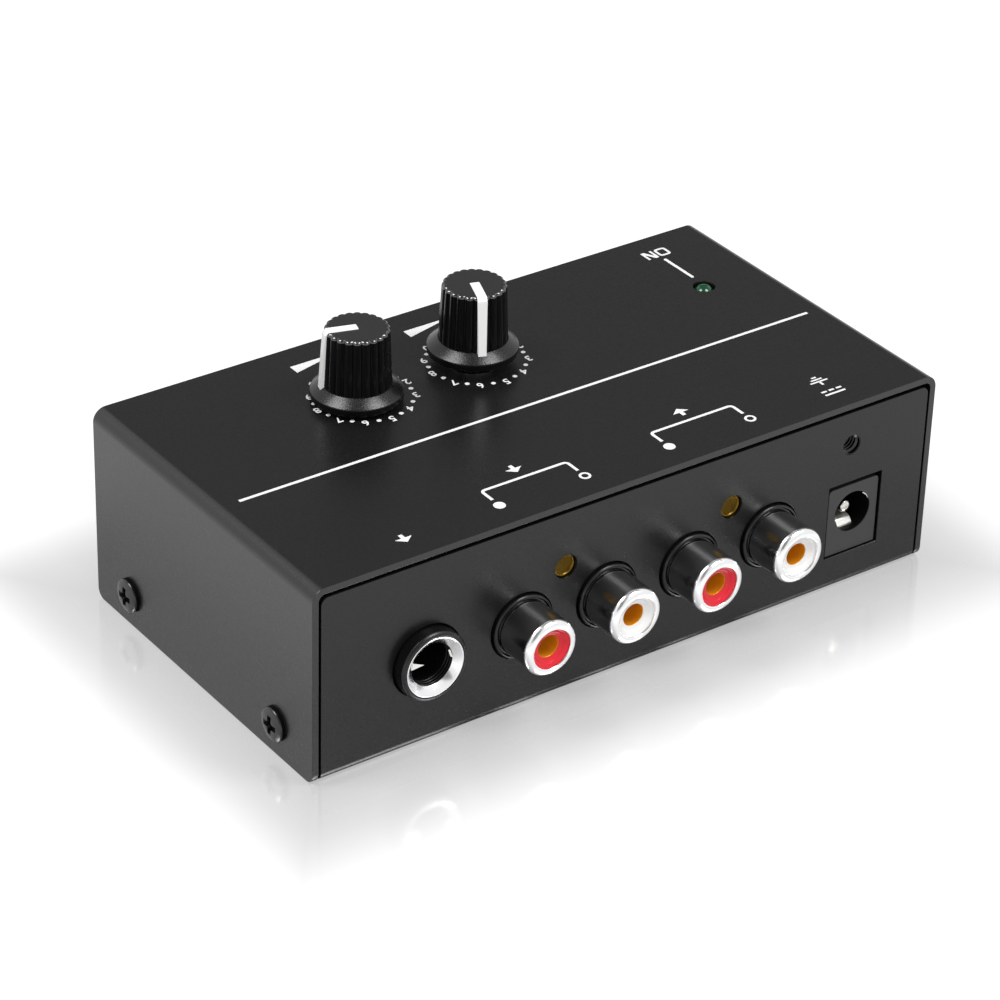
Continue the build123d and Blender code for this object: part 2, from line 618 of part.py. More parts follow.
def dc_inlet_spring():
    """Leaf spring that lies in a slot under the bore, bows up near its mouth and has a tail to the board."""
    rest = DC_AXIS - DC_BORE / 2 - DC_SPRING_THICKNESS / 2
    front = DC_FACE - DC_PIN_RECESS - DC_SPRING_THICKNESS
    back = DC_FACE - DC_DEPTH + DC_SPRING_THICKNESS
    crest = front - 2 * DC_SPRING_THICKNESS
    points = [(back, rest), (back + DC_SPRING_FLAT, rest), (crest, rest + DC_SPRING_RISE),
              (front, rest + DC_SPRING_RISE / 2)]
    leaf = strip(points, DC_SPRING_THICKNESS, DC_SPRING_WIDTH, DC_SPRING_THICKNESS)
    half = LEAD / 2
    tail_y = dc_spring_tail()
    tail = block((DC_X - half, DC_X + half), (tail_y - half, tail_y + half), (LEAD_END, rest))
    return Pos(DC_X, 0, 0) * (Plane.YZ * leaf) + tail


def ground_nut():
    """Hexagon nut fixed behind the panel."""
    nut = extrude(RegularPolygon(GROUND_NUT_ACROSS_FLATS / 2, 6, major_radius=False), GROUND_NUT_LENGTH)
    nut -= post(GROUND_THREAD_BORE, (0, GROUND_NUT_LENGTH), 0, 0)
    return towards_rear(nut, GROUND_X, REAR_INNER - GROUND_NUT_LENGTH, GROUND_AXIS)


# ---- Potentiometers ---------------------------------------------------------------------
def pot_body(x):
    """Two moulded decks with a groove between them."""
    half_x = POT_WIDTH / 2
    half_y = POT_DEPTH / 2
    middle = BOARD_TOP + POT_BODY_HEIGHT / 2
    body = block((x - half_x, x + half_x), (KNOB_Y - half_y, KNOB_Y + half_y), (BOARD_TOP, POT_TOP))
    groove = block((x - half_x, x + half_x), (KNOB_Y - half_y, KNOB_Y + half_y),
                   (middle - POT_DECK_GROOVE / 2, middle + POT_DECK_GROOVE / 2))
    core = block((x - half_x + POT_DECK_GROOVE, x + half_x - POT_DECK_GROOVE),
                 (KNOB_Y - half_y + POT_DECK_GROOVE, KNOB_Y + half_y - POT_DECK_GROOVE), (BOARD_TOP, POT_TOP))
    body -= groove - core
    journal = POT_JOURNAL + 2 * RUNNING_CLEARANCE
    return body - post(journal, (POT_TOP - POT_JOURNAL_DEPTH - POT_DECK_GROOVE, POT_TOP), x, KNOB_Y)


def pot_frame(x):
    """Sheet frame: top plate with the bushing, and two legs that clasp the body and enter the board."""
    half_x = POT_WIDTH / 2
    half_y = POT_DEPTH / 2
    sheet = POT_FRAME_SHEET
    outer = half_x + sheet
    frame = block((x - outer, x + outer), (KNOB_Y - half_y, KNOB_Y + half_y), (POT_TOP, POT_TOP + sheet))
    for side in (1, -1):
        wall = sorted((x + side * half_x, x + side * (half_x + sheet)))
        frame += block(wall, (KNOB_Y - half_y / 2, KNOB_Y + half_y / 2), (BOARD_TOP, POT_TOP))
        frame += block(wall, (KNOB_Y - LEAD, KNOB_Y + LEAD), (LEAD_END, BOARD_TOP))
    bushing_top = POT_TOP + sheet + POT_BUSHING_HEIGHT
    frame += post(POT_BUSHING, (POT_TOP + sheet, bushing_top), x, KNOB_Y)
    return frame - post(SHAFT + 2 * RUNNING_CLEARANCE, (POT_TOP, bushing_top), x, KNOB_Y)


def flatted_shaft(extra, z, x, turn):
    """D-shaped bar, larger all round by extra, with its flat opposite the knob's pointer."""
    shaft = post(SHAFT + 2 * extra, z, 0, 0)
    cut = SHAFT_FLAT - SHAFT / 2 + extra
    shaft -= block((-SHAFT, SHAFT), (-SHAFT, -cut), z)
    return Pos(x, KNOB_Y, 0) * Rot(0, 0, -turn) * shaft


def pot_shaft(x, turn):
    collar_top = POT_TOP + POT_FRAME_SHEET + POT_BUSHING_HEIGHT
    shaft = post(POT_JOURNAL, (POT_TOP - POT_JOURNAL_DEPTH, POT_TOP), x, KNOB_Y)
    shaft += post(SHAFT, (POT_TOP, CASE_HEIGHT), x, KNOB_Y)
    shaft = shaft - post(SHAFT, (collar_top + SHAFT, CASE_HEIGHT), x, KNOB_Y)
    return shaft + flatted_shaft(0, (collar_top + SHAFT, SHAFT_TOP), x, turn)


def pot_terminal_row(deck):
    """Y of the terminals of the lower deck (0) or the upper deck (1)."""
    return KNOB_Y - POT_DEPTH / 2 - POT_TERMINAL_REACH - deck * POT_TERMINAL_ROW_GAP


def pot_terminals():
    """Three legs in front of each deck, bent down into the board."""
    legs = []
    front = KNOB_Y - POT_DEPTH / 2
    for x, _, _ in KNOBS.values():
        for deck in (0, 1):
            level = BOARD_TOP + POT_BODY_HEIGHT * (1 + 2 * deck) / 4
            reach = pot_terminal_row(deck)
            for column in (-1, 0, 1):
                middle = x + column * POT_TERMINAL_PITCH
                wide = (middle - LEAD / 2, middle + LEAD / 2)
                leg = block(wide, (reach, front), (level - LEAD / 2, level + LEAD / 2))
                leg += block(wide, (reach - LEAD / 2, reach + LEAD / 2), (LEAD_END, level + LEAD / 2))
                legs.append(leg)
    return joined(legs)


# ---- Knobs ------------------------------------------------------------------------------
def fluted_face(radius, z):
    """Outline of the grip at one height: a ring of outward lobes that meet in sharp notches."""
    step = 2 * pi / GRIP_FLUTES
    notch = radius - FLUTE_DEPTH

    def at(distance, angle):
        return distance * sin(angle), distance * cos(angle)

    lobes = [ThreePointArc(at(notch, i * step), at(radius, (i + 0.5) * step), at(notch, (i + 1) * step))
             for i in range(GRIP_FLUTES)]
    return Pos(0, 0, z) * make_face(lobes)


def knob_grip():
    """Tapered fluted grip with a bevelled top edge."""
    base = SKIRT_RIM_HEIGHT
    bevel = KNOB_HEIGHT - GRIP_EDGE_BEVEL
    top = GRIP_TOP_DIAMETER / 2
    foot = GRIP_BASE_DIAMETER / 2
    shoulder = fluted_face(top, bevel).face()
    crown = fluted_face(top - GRIP_EDGE_BEVEL, KNOB_HEIGHT).face()
    return loft([fluted_face(foot, base).face(), shoulder], ruled=True) + loft([shoulder, crown], ruled=True)


def knob_skirt():
    """Hollow conical skirt with an upright rim, and the hub that takes the shaft."""
    rim = SKIRT_DIAMETER / 2
    neck = GRIP_BASE_DIAMETER / 2
    edge = SKIRT_RIM_HEIGHT
    cone_top = edge + SKIRT_CONE_HEIGHT
    skirt = turned(Polyline((0, 0), (rim, 0), (rim, edge), (neck, cone_top), (0, cone_top), close=True))
    hub = KNOB_HUB / 2
    wall = rim - SKIRT_WALL
    hollow = turned(Polyline((hub, 0), (wall, 0), (wall, edge / 2), (neck, edge), (hub, edge), close=True))
    return skirt - hollow


def pointer_inlay():
    """White pointer set into the grip: from the centre of the top over the edge and down to the skirt."""
    foot = GRIP_BASE_DIAMETER / 2 + POINTER_FOOT_PROUD
    top = GRIP_TOP_DIAMETER / 2 + POINTER_PROUD
    low = POINTER_FOOT_HEIGHT
    high = KNOB_HEIGHT + POINTER_TOP_PROUD
    shoulder = high - GRIP_EDGE_BEVEL - POINTER_TOP_PROUD
    sunk = POINTER_INLAY + POINTER_PROUD
    foot_sunk = POINTER_INLAY + POINTER_FOOT_PROUD
    under = high - POINTER_INLAY
    side = Polyline((0, high), (top - GRIP_EDGE_BEVEL, high), (top, shoulder), (foot, low),
                    (foot - foot_sunk, low), (top - sunk, under), (0, under), close=True)
    rib = extrude(make_face((Plane.YZ * side).edges()), SKIRT_DIAMETER / 2, both=True)
    half_top = POINTER_TOP_WIDTH / 2
    half_foot = POINTER_FOOT_WIDTH / 2
    front = Polyline((-half_foot, low), (half_foot, low), (half_top, shoulder), (half_top, high),
                     (-half_top, high), (-half_top, shoulder), close=True)
    taper = make_face(front.edges())
    return rib & extrude(Plane.XZ * taper, SKIRT_DIAMETER, both=True)


def knob(name):
    """Knob without its pointer, and the pointer, both turned to the stored pose."""
    x, lift, turn = KNOBS[name]
    base = CASE_HEIGHT + lift
    pointer = pointer_inlay()
    moulding = knob_grip() + knob_skirt() - pointer
    place = Pos(x, KNOB_Y, base) * Rot(0, 0, -turn)
    moulding = place * moulding - flatted_shaft(SEAT, (base, SHAFT_TOP + SEAT), x, turn)
    return moulding, place * pointer


# ---- Power lamp -------------------------------------------------------------------------
def power_led():
    """Lens with its flange below and a domed tip."""
    radius = LED_DIAMETER / 2
    flange = LED_FLANGE / 2
    dome = LED_LENGTH - radius
    outline = Polyline((0, LED_LENGTH), (0, 0), (flange, 0), (flange, LED_FLANGE_HEIGHT),
                       (radius, LED_FLANGE_HEIGHT), (radius, dome))
    outline += RadiusArc((radius, dome), (0, LED_LENGTH), -radius)
    return Pos(LED_X, KNOB_Y, LED_BASE) * turned(outline)


def led_leads():
    half = LEAD / 2
    places = (LED_X - LED_LEAD_PITCH / 2, LED_X + LED_LEAD_PITCH / 2)
    across = (KNOB_Y - half, KNOB_Y + half)
    return joined([block((x - half, x + half), across, (LEAD_END, LED_BASE)) for x in places])


def led_spacer():
    tube = post(SPACER_DIAMETER, (BOARD_TOP, LED_BASE), LED_X, KNOB_Y)
    return tube - post(SPACER_BORE, (BOARD_TOP, LED_BASE), LED_X, KNOB_Y)


# ---- Parts on the board -----------------------------------------------------------------
def chip_columns(x):
    """X of each column of leads of a chip centred on x."""
    first = x - CHIP_LEAD_PITCH * (CHIP_LEADS_PER_SIDE - 1) / 2
    return [first + column * CHIP_LEAD_PITCH for column in range(CHIP_LEADS_PER_SIDE)]


def amplifier_chips():
    """Eight-lead packages, each with its leads moulded in."""
    length, width, height = CHIP_SIZE
    chips = []
    for place in CHIPS:
        x, y = on_board(*place)
        base = BOARD_TOP + CHIP_LIFT
        half = width / 2
        chip = block((x - length / 2, x + length / 2), (y - half, y + half), (base, base + height))
        chip -= post(2 * CHIP_NOTCH, (base + height - CHIP_LIFT, base + height), x - length / 2, y)
        for middle in chip_columns(x):
            for side in (1, -1):
                wide = (middle - LEAD / 2, middle + LEAD / 2)
                outer = y + side * CHIP_LEAD_SPAN / 2
                chip += block(wide, sorted((y + side * half, outer)),
                              (base + height / 2 - LEAD, base + height / 2))
                chip += block(wide, sorted((outer - side * LEAD / 2, outer)), (LEAD_END, base + height / 2))
        chips.append(chip)
    return joined(chips)


def cans(places, diameter, height):
    """Upright electrolytic capacitors."""
    can = post(diameter, (0, height), 0, 0)
    can = chamfer(can.edges().filter_by(GeomType.CIRCLE).sort_by(Axis.Z)[-1], CAPACITOR_EDGE_BEVEL)
    return joined([Pos(*on_board(*place), BOARD_TOP) * can for place in places])


def film_capacitors():
    length, width, height = FILM_CAPACITOR_SIZE
    box = Box(length, width, height, align=(Align.CENTER, Align.CENTER, Align.MIN))
    return joined([Pos(*on_board(*place), BOARD_TOP) * box for place in FILM_CAPACITORS])


def axial_part(place, diameter, length):
    """Axial part that lies along Y, with its leads bent down into the board."""
    x, y = on_board(*place)
    axis = BOARD_TOP + diameter / 2
    half = AXIAL_SPAN / 2
    part = bar(diameter, (y - length / 2, y + length / 2), x, axis)
    part += block((x - LEAD / 2, x + LEAD / 2), (y - half, y + half), (axis - LEAD / 2, axis + LEAD / 2))
    for side in (1, -1):
        ends = sorted((y + side * half, y + side * (half - LEAD)))
        part += block((x - LEAD / 2, x + LEAD / 2), ends, (LEAD_END, axis + LEAD / 2))
    return part


def resistors():
    return joined([axial_part(place, RESISTOR_DIAMETER, RESISTOR_LENGTH) for place in RESISTORS])


def regulator():
    """Three-lead package: a cylinder with one flat side, standing on its leads."""
    x, y = on_board(*REGULATOR_PLACE)
    base = BOARD_TOP + REGULATOR_STANDING
    body = post(REGULATOR_WIDTH, (base, base + REGULATOR_HEIGHT), x, y)
    body -= block((x - REGULATOR_WIDTH, x + REGULATOR_WIDTH), (y - REGULATOR_WIDTH, y - REGULATOR_FLAT),
                  (base, base + REGULATOR_HEIGHT))
    for column in (-1, 0, 1):
        middle = x + column * REGULATOR_LEAD_PITCH
        body += block((middle - LEAD / 2, middle + LEAD / 2), (y - LEAD / 2, y + LEAD / 2), (LEAD_END, base))
    return body


def board_holes():
    """Everything that passes through the circuit board."""
    span = (BOARD_UNDER - BOARD_THICKNESS, BOARD_TOP + BOARD_THICKNESS)
    holes = [post(SCREW_HOLE, span, x, y) for x, y in board_fixing_places()]

    def lead_hole(x, y, width=LEAD_HOLE):
        half = width / 2
        return block((x - half, x + half), (y - LEAD_HOLE / 2, y + LEAD_HOLE / 2), span)

    for middle in RCA_PAIRS.values():
        holes += [lead_hole(x, rca_leg_face() - LEAD / 2) for x in rca_axes(middle)]
    for side, _ in phone_spring_places():
        leg_y = phone_jack_back() - PHONE_SPRING_THICKNESS - LEAD / 2
        leg_x = PHONE_X + side * (phone_spring_slot_depth() - PHONE_SPRING_THICKNESS / 2)
        holes.append(lead_hole(leg_x, leg_y))
    holes.append(lead_hole(DC_X, DC_FACE - DC_DEPTH - SEAT - LEAD / 2, DC_PIN + LEAD_HOLE - LEAD))
    holes.append(lead_hole(DC_X, dc_spring_tail()))
    for x, _, _ in KNOBS.values():
        for side in (1, -1):
            centre = x + side * (POT_WIDTH + POT_FRAME_SHEET) / 2
            half = POT_FRAME_SHEET / 2 + (LEAD_HOLE - LEAD) / 2
            across = (KNOB_Y - LEAD_HOLE, KNOB_Y + LEAD_HOLE)
            holes.append(block((centre - half, centre + half), across, span))
        for deck in (0, 1):
            row = [x + column * POT_TERMINAL_PITCH for column in (-1, 0, 1)]
            holes += [lead_hole(column_x, pot_terminal_row(deck)) for column_x in row]
    holes += [lead_hole(LED_X + side * LED_LEAD_PITCH / 2, KNOB_Y) for side in (1, -1)]
    for place in CHIPS:
        x, y = on_board(*place)
        holes += [lead_hole(middle, y + side * (CHIP_LEAD_SPAN / 2 - LEAD / 4))
                  for middle in chip_columns(x) for side in (1, -1)]
    for place in RESISTORS + (DIODE_PLACE,):
        x, y = on_board(*place)
        holes += [lead_hole(x, y + side * (AXIAL_SPAN / 2 - LEAD / 2)) for side in (1, -1)]
    x, y = on_board(*REGULATOR_PLACE)
    holes += [lead_hole(x + column * REGULATOR_LEAD_PITCH, y) for column in (-1, 0, 1)]
    return holes


def circuit_board():
    half = BOARD_WIDTH / 2
    board = block((-half, half), (BOARD_FRONT, BOARD_REAR), (BOARD_UNDER, BOARD_TOP))
    return board - board_holes()


# ---- All nodes --------------------------------------------------------------------------
def all_nodes():
    nodes = {
        "top_cover": top_cover(),
        "base_tray": base_tray(),
        "cover_screws": cover_screws(),
        "board_standoffs": board_standoffs(),
        "board_screws": board_screws(),
        "circuit_board": circuit_board(),
        "phone_jack_body": phone_jack_body(),
        "phone_jack_ferrule": phone_jack_ferrule(),
        "phone_jack_springs": phone_jack_springs(),
        "dc_inlet_body": dc_inlet_body(),
        "dc_inlet_pin": dc_inlet_pin(),
        "dc_inlet_spring": dc_inlet_spring(),
        "ground_nut": ground_nut(),
        "power_led": power_led(),
        "led_leads": led_leads(),
        "led_spacer": led_spacer(),
        "pot_terminals": pot_terminals(),
        "amplifier_chips": amplifier_chips(),
        "signal_capacitors": cans(CAPACITORS, CAPACITOR_DIAMETER, CAPACITOR_HEIGHT),
        "supply_capacitors": cans(SUPPLY_CAPACITORS, SUPPLY_CAPACITOR_DIAMETER, SUPPLY_CAPACITOR_HEIGHT),
        "film_capacitors": film_capacitors(),
        "resistors": resistors(),
        "supply_diode": axial_part(DIODE_PLACE, DIODE_DIAMETER, DIODE_LENGTH),
        "regulator": regulator(),
    }
    for name, middle in RCA_PAIRS.items():
        right, left = rca_axes(middle)
        nodes[f"{name}_jack_housing"] = rca_housing(middle)
        nodes[f"{name}_jack_shells"] = rca_shells(middle)
        nodes[f"{name}_jack_insulator_right"] = rca_insulator(right)
        nodes[f"{name}_jack_insulator_left"] = rca_insulator(left)
        nodes[f"{name}_jack_contacts"] = rca_contacts(middle)
        nodes[f"{name}_jack_plate"] = rca_plate(middle)
    for name, (x, _, turn) in KNOBS.items():
        nodes[f"{name}_pot_body"] = pot_body(x)
        nodes[f"{name}_pot_frame"] = pot_frame(x)
        nodes[f"{name}_pot_shaft"] = pot_shaft(x, turn)
        nodes[f"{name}_knob"], nodes[f"{name}_knob_pointer"] = knob(name)
    return nodes


os.makedirs("parts", exist_ok=True)
for node, shape in all_nodes().items():
    export_step(shape, f"parts/{node}.step")
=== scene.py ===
"""Looks of a small phono preamp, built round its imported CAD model.

Shapes are worked out in millimetres and scaled to metres when a piece is made.
"""

import logging
import math
from collections.abc import Callable, Iterable, Sequence
from dataclasses import dataclass, field
from enum import Enum

import bmesh
import bpy
from mathutils import Matrix, Quaternion, Vector

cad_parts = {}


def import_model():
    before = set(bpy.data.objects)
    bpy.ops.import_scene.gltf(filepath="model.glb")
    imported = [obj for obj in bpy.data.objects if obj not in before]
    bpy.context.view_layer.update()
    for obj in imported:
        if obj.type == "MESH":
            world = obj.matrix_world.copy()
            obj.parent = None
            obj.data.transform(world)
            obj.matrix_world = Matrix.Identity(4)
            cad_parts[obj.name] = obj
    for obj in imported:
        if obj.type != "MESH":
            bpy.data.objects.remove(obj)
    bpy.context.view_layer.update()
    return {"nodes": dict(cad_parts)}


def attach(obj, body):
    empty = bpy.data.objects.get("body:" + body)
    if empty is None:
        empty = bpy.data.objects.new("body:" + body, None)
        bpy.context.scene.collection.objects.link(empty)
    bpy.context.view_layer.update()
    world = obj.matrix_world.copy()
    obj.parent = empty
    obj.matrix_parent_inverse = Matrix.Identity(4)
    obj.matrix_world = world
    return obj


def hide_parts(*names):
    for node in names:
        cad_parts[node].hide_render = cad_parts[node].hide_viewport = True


LOG = logging.getLogger("phono_preamp")
METRES = 0.001
SHARP_ANGLE = 32.0
# Vertices nearer to each other than this are merged: the CAD's distance is in metres, the rest in millimetres.
TURNED_GAP = 0.0005
FIGURE_GAP = 0.0001
CAD_GAP = 0.000002
# The CAD's triangles that meet at less than this angle, in degrees, are one face.
FLAT_ANGLE = 0.6

# Places that several sub-assemblies share, in millimetres.
CASE_HALF_WIDTH = 52.0
CASE_HALF_DEPTH = 27.5
CASE_TOP = 30.0
SOCKET_AXIS = 13.2
KNOB_LINE = -10.7

Triple = tuple[float, float, float]
Span = tuple[float, float]
# A corner of an outline: u, v and, where it is rounded, the distance of the round.
Corner = tuple[float, ...]
# Something square in the studio: place, side and level.
Panel = tuple[Triple, float, float]
Shape = bmesh.types.BMesh
Mesh = bpy.types.Object
Socket = bpy.types.NodeSocket
Setting = float | Sequence[float] | Socket

WHITE = (1.0, 1.0, 1.0, 1.0)
NOISE_MIDDLE: Span = (0.3, 0.7)
# Numbers of a mix node's two colour inputs and of its colour output.
MIX_COLOUR_SOCKETS = (6, 7, 2)


class Body(Enum):
    """Bodies of the frame that a piece can ride on."""

    CASE = "case"
    LEVEL = "level_control"
    VOLUME = "volume_control"


class Side(Enum):
    """Faces of the case that a turned part can point out of."""

    REAR = "rear"
    RIGHT = "right"
    LEFT = "left"

    def turn(self) -> Matrix:
        """Rotation that takes +Z to this side's outward direction."""
        return {
            Side.REAR: Matrix.Rotation(math.radians(-90), 4, "X"),
            Side.RIGHT: Matrix.Rotation(math.radians(90), 4, "Y"),
            Side.LEFT: Matrix.Rotation(math.radians(-90), 4, "Y"),
        }[self]


# ---- Materials ----------------------------------------------------------------------------
class Graph:
    """Node tree with one call for any node and a few for the patterns used here."""

    def __init__(self, tree: bpy.types.NodeTree) -> None:
        """Takes the tree that gets the nodes."""
        self.tree = tree

    def node(self, kind: str, inputs: dict[str | int, Setting] | None = None,
             **options: object) -> bpy.types.Node:
        """Adds a node.

        Args:
            kind: Type of the node.
            inputs: Value of an input, or the socket that feeds it, by the input's name or number.
            **options: The node's own options, such as its operation.

        Returns:
            The node.
        """
        node = self.tree.nodes.new(kind)
        for option, value in options.items():
            setattr(node, option, value)
        for key, value in (inputs or {}).items():
            self.feed(node.inputs[key], value)
        return node

    def feed(self, target: Socket, value: Setting) -> None:
        """Sets an input, or links it where the value is a socket."""
        if isinstance(value, Socket):
            self.tree.links.new(value, target)
        else:
            target.default_value = value

    def shader(self) -> bpy.types.NodeInputs:
        """Inputs of the material's shader."""
        return self.tree.nodes["Principled BSDF"].inputs

    def place(self) -> Socket:
        """The object's own coordinates."""
        return self.node("ShaderNodeTexCoord").outputs["Object"]

    def noise(self, per_metre: float, detail: float = 2.0, stretch: Triple = (1.0, 1.0, 1.0)) -> Socket:
        """Noise on the object's coordinates.

        Args:
            per_metre: How many features fit in a metre.
            detail: Octaves of finer noise.
            stretch: Scale along each axis; a small one draws the pattern out into lines.

        Returns:
            The noise's value socket.
        """
        mapping = self.node("ShaderNodeMapping", {"Vector": self.place(), "Scale": stretch})
        inputs = {"Vector": mapping.outputs["Vector"], "Scale": per_metre, "Detail": detail}
        return self.node("ShaderNodeTexNoise", inputs).outputs["Fac"]

    def ranged(self, value: Socket, source: Span, target: Span) -> Socket:
        """Maps one range of a value to another, with both ends held."""
        inputs = {"Value": value, "From Min": source[0], "From Max": source[1], "To Min": target[0],
                  "To Max": target[1]}
        return self.node("ShaderNodeMapRange", inputs).outputs["Result"]

    def maths(self, operation: str, *terms: Setting) -> Socket:
        """Result of a mathematical operation on one or two terms."""
        return self.node("ShaderNodeMath", dict(enumerate(terms)), operation=operation).outputs["Value"]

    def between(self, factor: Socket, first: Triple, second: Triple) -> Socket:
        """Blends two colours by a factor."""
        first_colour, second_colour, result = MIX_COLOUR_SOCKETS
        inputs = {"Factor": factor, first_colour: (*first, 1.0), second_colour: (*second, 1.0)}
        return self.node("ShaderNodeMix", inputs, data_type="RGBA").outputs[result]


@dataclass(frozen=True)
class Finish:
    """A finish with drifting colour, uneven gloss and a fine grain.

    Colour is linear, drift and patches are shares of the colour and the roughness, grain and
    blotch count features in a metre, and relief is the grain's height in millimetres.
    """

    name: str
    colour: Triple
    roughness: float
    drift: float = 0.12
    patches: float = 0.12
    blotch: float = 90.0
    grain: float = 2400.0
    relief: float = 0.004
    stretch: Triple = (1.0, 1.0, 1.0)
    metallic: float = 0.0
    specular: float = 0.5

    def material(self) -> bpy.types.Material:
        """Returns the finish's material, made on its first use."""
        name = f"{self.name}_finish"
        if name not in bpy.data.materials:
            material = bpy.data.materials.new(name)
            material.use_nodes = True
            self.dress(Graph(material.node_tree))
        return bpy.data.materials[name]

    def dress(self, graph: Graph) -> None:
        """Sets the shader's own sockets and links the patterns."""
        darker = tuple(channel * (1.0 - self.drift) for channel in self.colour)
        lighter = tuple(min(channel * (1.0 + self.drift), 1.0) for channel in self.colour)
        grain = graph.noise(self.grain, stretch=self.stretch)
        gloss = self.roughness * (1.0 - self.patches), self.roughness * (1.0 + self.patches)
        relief = {"Height": grain, "Distance": self.relief * METRES, "Strength": 1.0}
        bump = graph.node("ShaderNodeBump", relief)
        settings = {
            "Metallic": self.metallic,
            "Specular IOR Level": self.specular,
            "Base Color": graph.between(graph.noise(self.blotch, 3.0), darker, lighter),
            "Roughness": graph.ranged(grain, NOISE_MIDDLE, gloss),
            "Normal": bump.outputs["Normal"],
        }
        for socket, value in settings.items():
            graph.feed(graph.shader()[socket], value)


@dataclass(frozen=True)
class Laminate(Finish):
    """Solder mask over copper tracks."""

    track: Triple = (0.02, 0.16, 0.05)
    tracks_per_metre: float = 320.0
    track_share: float = 0.12

    def dress(self, graph: Graph) -> None:
        """Adds the tracks to the mask's colour."""
        super().dress(graph)
        cells = graph.node("ShaderNodeTexVoronoi", {"Vector": graph.place(), "Scale": self.tracks_per_metre},
                           feature="DISTANCE_TO_EDGE")
        near = graph.maths("LESS_THAN", cells.outputs["Distance"], self.track_share)
        graph.feed(graph.shader()["Base Color"], graph.between(near, self.colour, self.track))


# The cover and the tray wear one paint. It is given as a glossier copy on the cover, which paints light on the
# sides, and a darker, duller copy on the tray, which paints shade on the rear panel.
COVER_COAT_PAINTED_SHEEN = Finish("cover_coat_painted_sheen", (0.005, 0.005, 0.005), 0.3, grain=3200.0, specular=0.58)
TRAY_COAT_PAINTED_SHADE = Finish("tray_coat_painted_shade", (0.004, 0.004, 0.004), 0.3, grain=3200.0, relief=0.003, specular=0.38)
BLACK_SCREW = Finish("blackened_screw", (0.005, 0.005, 0.005), 0.24, relief=0.003, grain=3000.0, specular=0.6)
# Darker, duller copy of the screw's black for the head's side wall: painted shade round the head.
SCREW_WALL_PAINTED_SHADE = Finish("screw_wall_painted_shade", (0.002, 0.002, 0.002), 0.6, relief=0.003, specular=0.08)
SOCKET_PLASTIC = Finish("socket_plastic", (0.004, 0.004, 0.004), 0.3, grain=2600.0, specular=0.4)
INLET_PLASTIC = Finish("inlet_plastic", (0.018, 0.018, 0.018), 0.42, grain=2600.0)
# Darker, duller copy of the inlet's plastic for the faces inside its well: painted shade in the bore.
WELL_PAINTED_SHADE = Finish("well_painted_shade", (0.002, 0.002, 0.002), 0.5, grain=2600.0, specular=0.1)
CHROME = Finish("chrome", (0.52, 0.52, 0.53), 0.17, metallic=1.0, drift=0.04, grain=9000.0,
                relief=0.0012, stretch=(0.02, 1.0, 0.02))
# Lighter copy of the chrome above, for the rolled rims and the phone jack's bush: painted highlight.
CHROME_PAINTED_HIGHLIGHT = Finish("chrome_painted_highlight", (0.86, 0.86, 0.87), 0.2, metallic=1.0, drift=0.03, grain=9000.0,
                       relief=0.0012, stretch=(0.02, 1.0, 0.02))
# Near-black copy of the chrome for the barrels' flanges: painted shade round each barrel.
FLANGE_PAINTED_SHADE = Finish("flange_painted_shade", (0.07, 0.07, 0.07), 0.3, metallic=1.0, relief=0.002)
RED_INSULATOR = Finish("red_insulator", (0.70, 0.022, 0.038), 0.2, grain=1500.0, relief=0.002, specular=0.25)
WHITE_INSULATOR = Finish("white_insulator", (0.86, 0.86, 0.85), 0.25, drift=0.02, grain=1500.0, relief=0.002)
CONTACT_GOLD = Finish("contact_gold", (0.85, 0.36, 0.012), 0.45, metallic=0.4, drift=0.06, relief=0.002)
PLATE_BRASS = Finish("plate_brass", (0.17, 0.10, 0.013), 0.3, metallic=1.0, relief=0.003)
SPRING_METAL = Finish("spring_metal", (0.72, 0.71, 0.68), 0.22, metallic=1.0, relief=0.002,
                      stretch=(1.0, 0.05, 1.0))
LEAF_METAL = Finish("leaf_metal", (0.70, 0.69, 0.66), 0.42, metallic=0.85, relief=0.006, grain=5200.0)
INLET_PIN = Finish("inlet_pin", (0.66, 0.64, 0.60), 0.18, metallic=1.0, relief=0.001)
# Steel darkened to near black: painted shade in the ground terminal's hole.
NUT_STEEL_PAINTED_SHADE = Finish("nut_steel", (0.045, 0.045, 0.045), 0.2, metallic=1.0, relief=0.002)
LAMP_GREEN = Finish("lamp_green", (0.0005, 0.05, 0.02), 0.1, relief=0.001)
LAMP_CORE = Finish("lamp_core", (0.55, 0.55, 0.52), 0.3, metallic=1.0)
TINNED_LEAD = Finish("tinned_lead", (0.66, 0.66, 0.64), 0.32, metallic=1.0)
SPACER_NYLON = Finish("spacer_nylon", (0.70, 0.69, 0.64), 0.45, drift=0.04)
BOARD_MASK = Laminate("board_mask", (0.012, 0.09, 0.03), 0.35)
STANDOFF_BRASS = Finish("standoff_brass", (0.70, 0.50, 0.24), 0.3, metallic=1.0)
ZINC_SCREW = Finish("zinc_screw", (0.58, 0.59, 0.60), 0.3, metallic=1.0)
POT_MOULDING = Finish("pot_moulding", (0.05, 0.045, 0.04), 0.5)
# Near-black, dull steel for the pots' frames and bushes: painted shade under the knobs' skirts.
POT_STEEL_PAINTED_SHADE = Finish("pot_steel_painted_shade", (0.0015, 0.0015, 0.0015), 0.6, specular=0.03,
                   stretch=(1.0, 0.1, 1.0))
SHAFT_METAL = Finish("shaft_metal", (0.68, 0.68, 0.68), 0.3, metallic=1.0)
KNOB_GLOSS = Finish("knob_gloss", (0.003, 0.003, 0.003), 0.16, grain=1400.0, relief=0.002, specular=0.2)
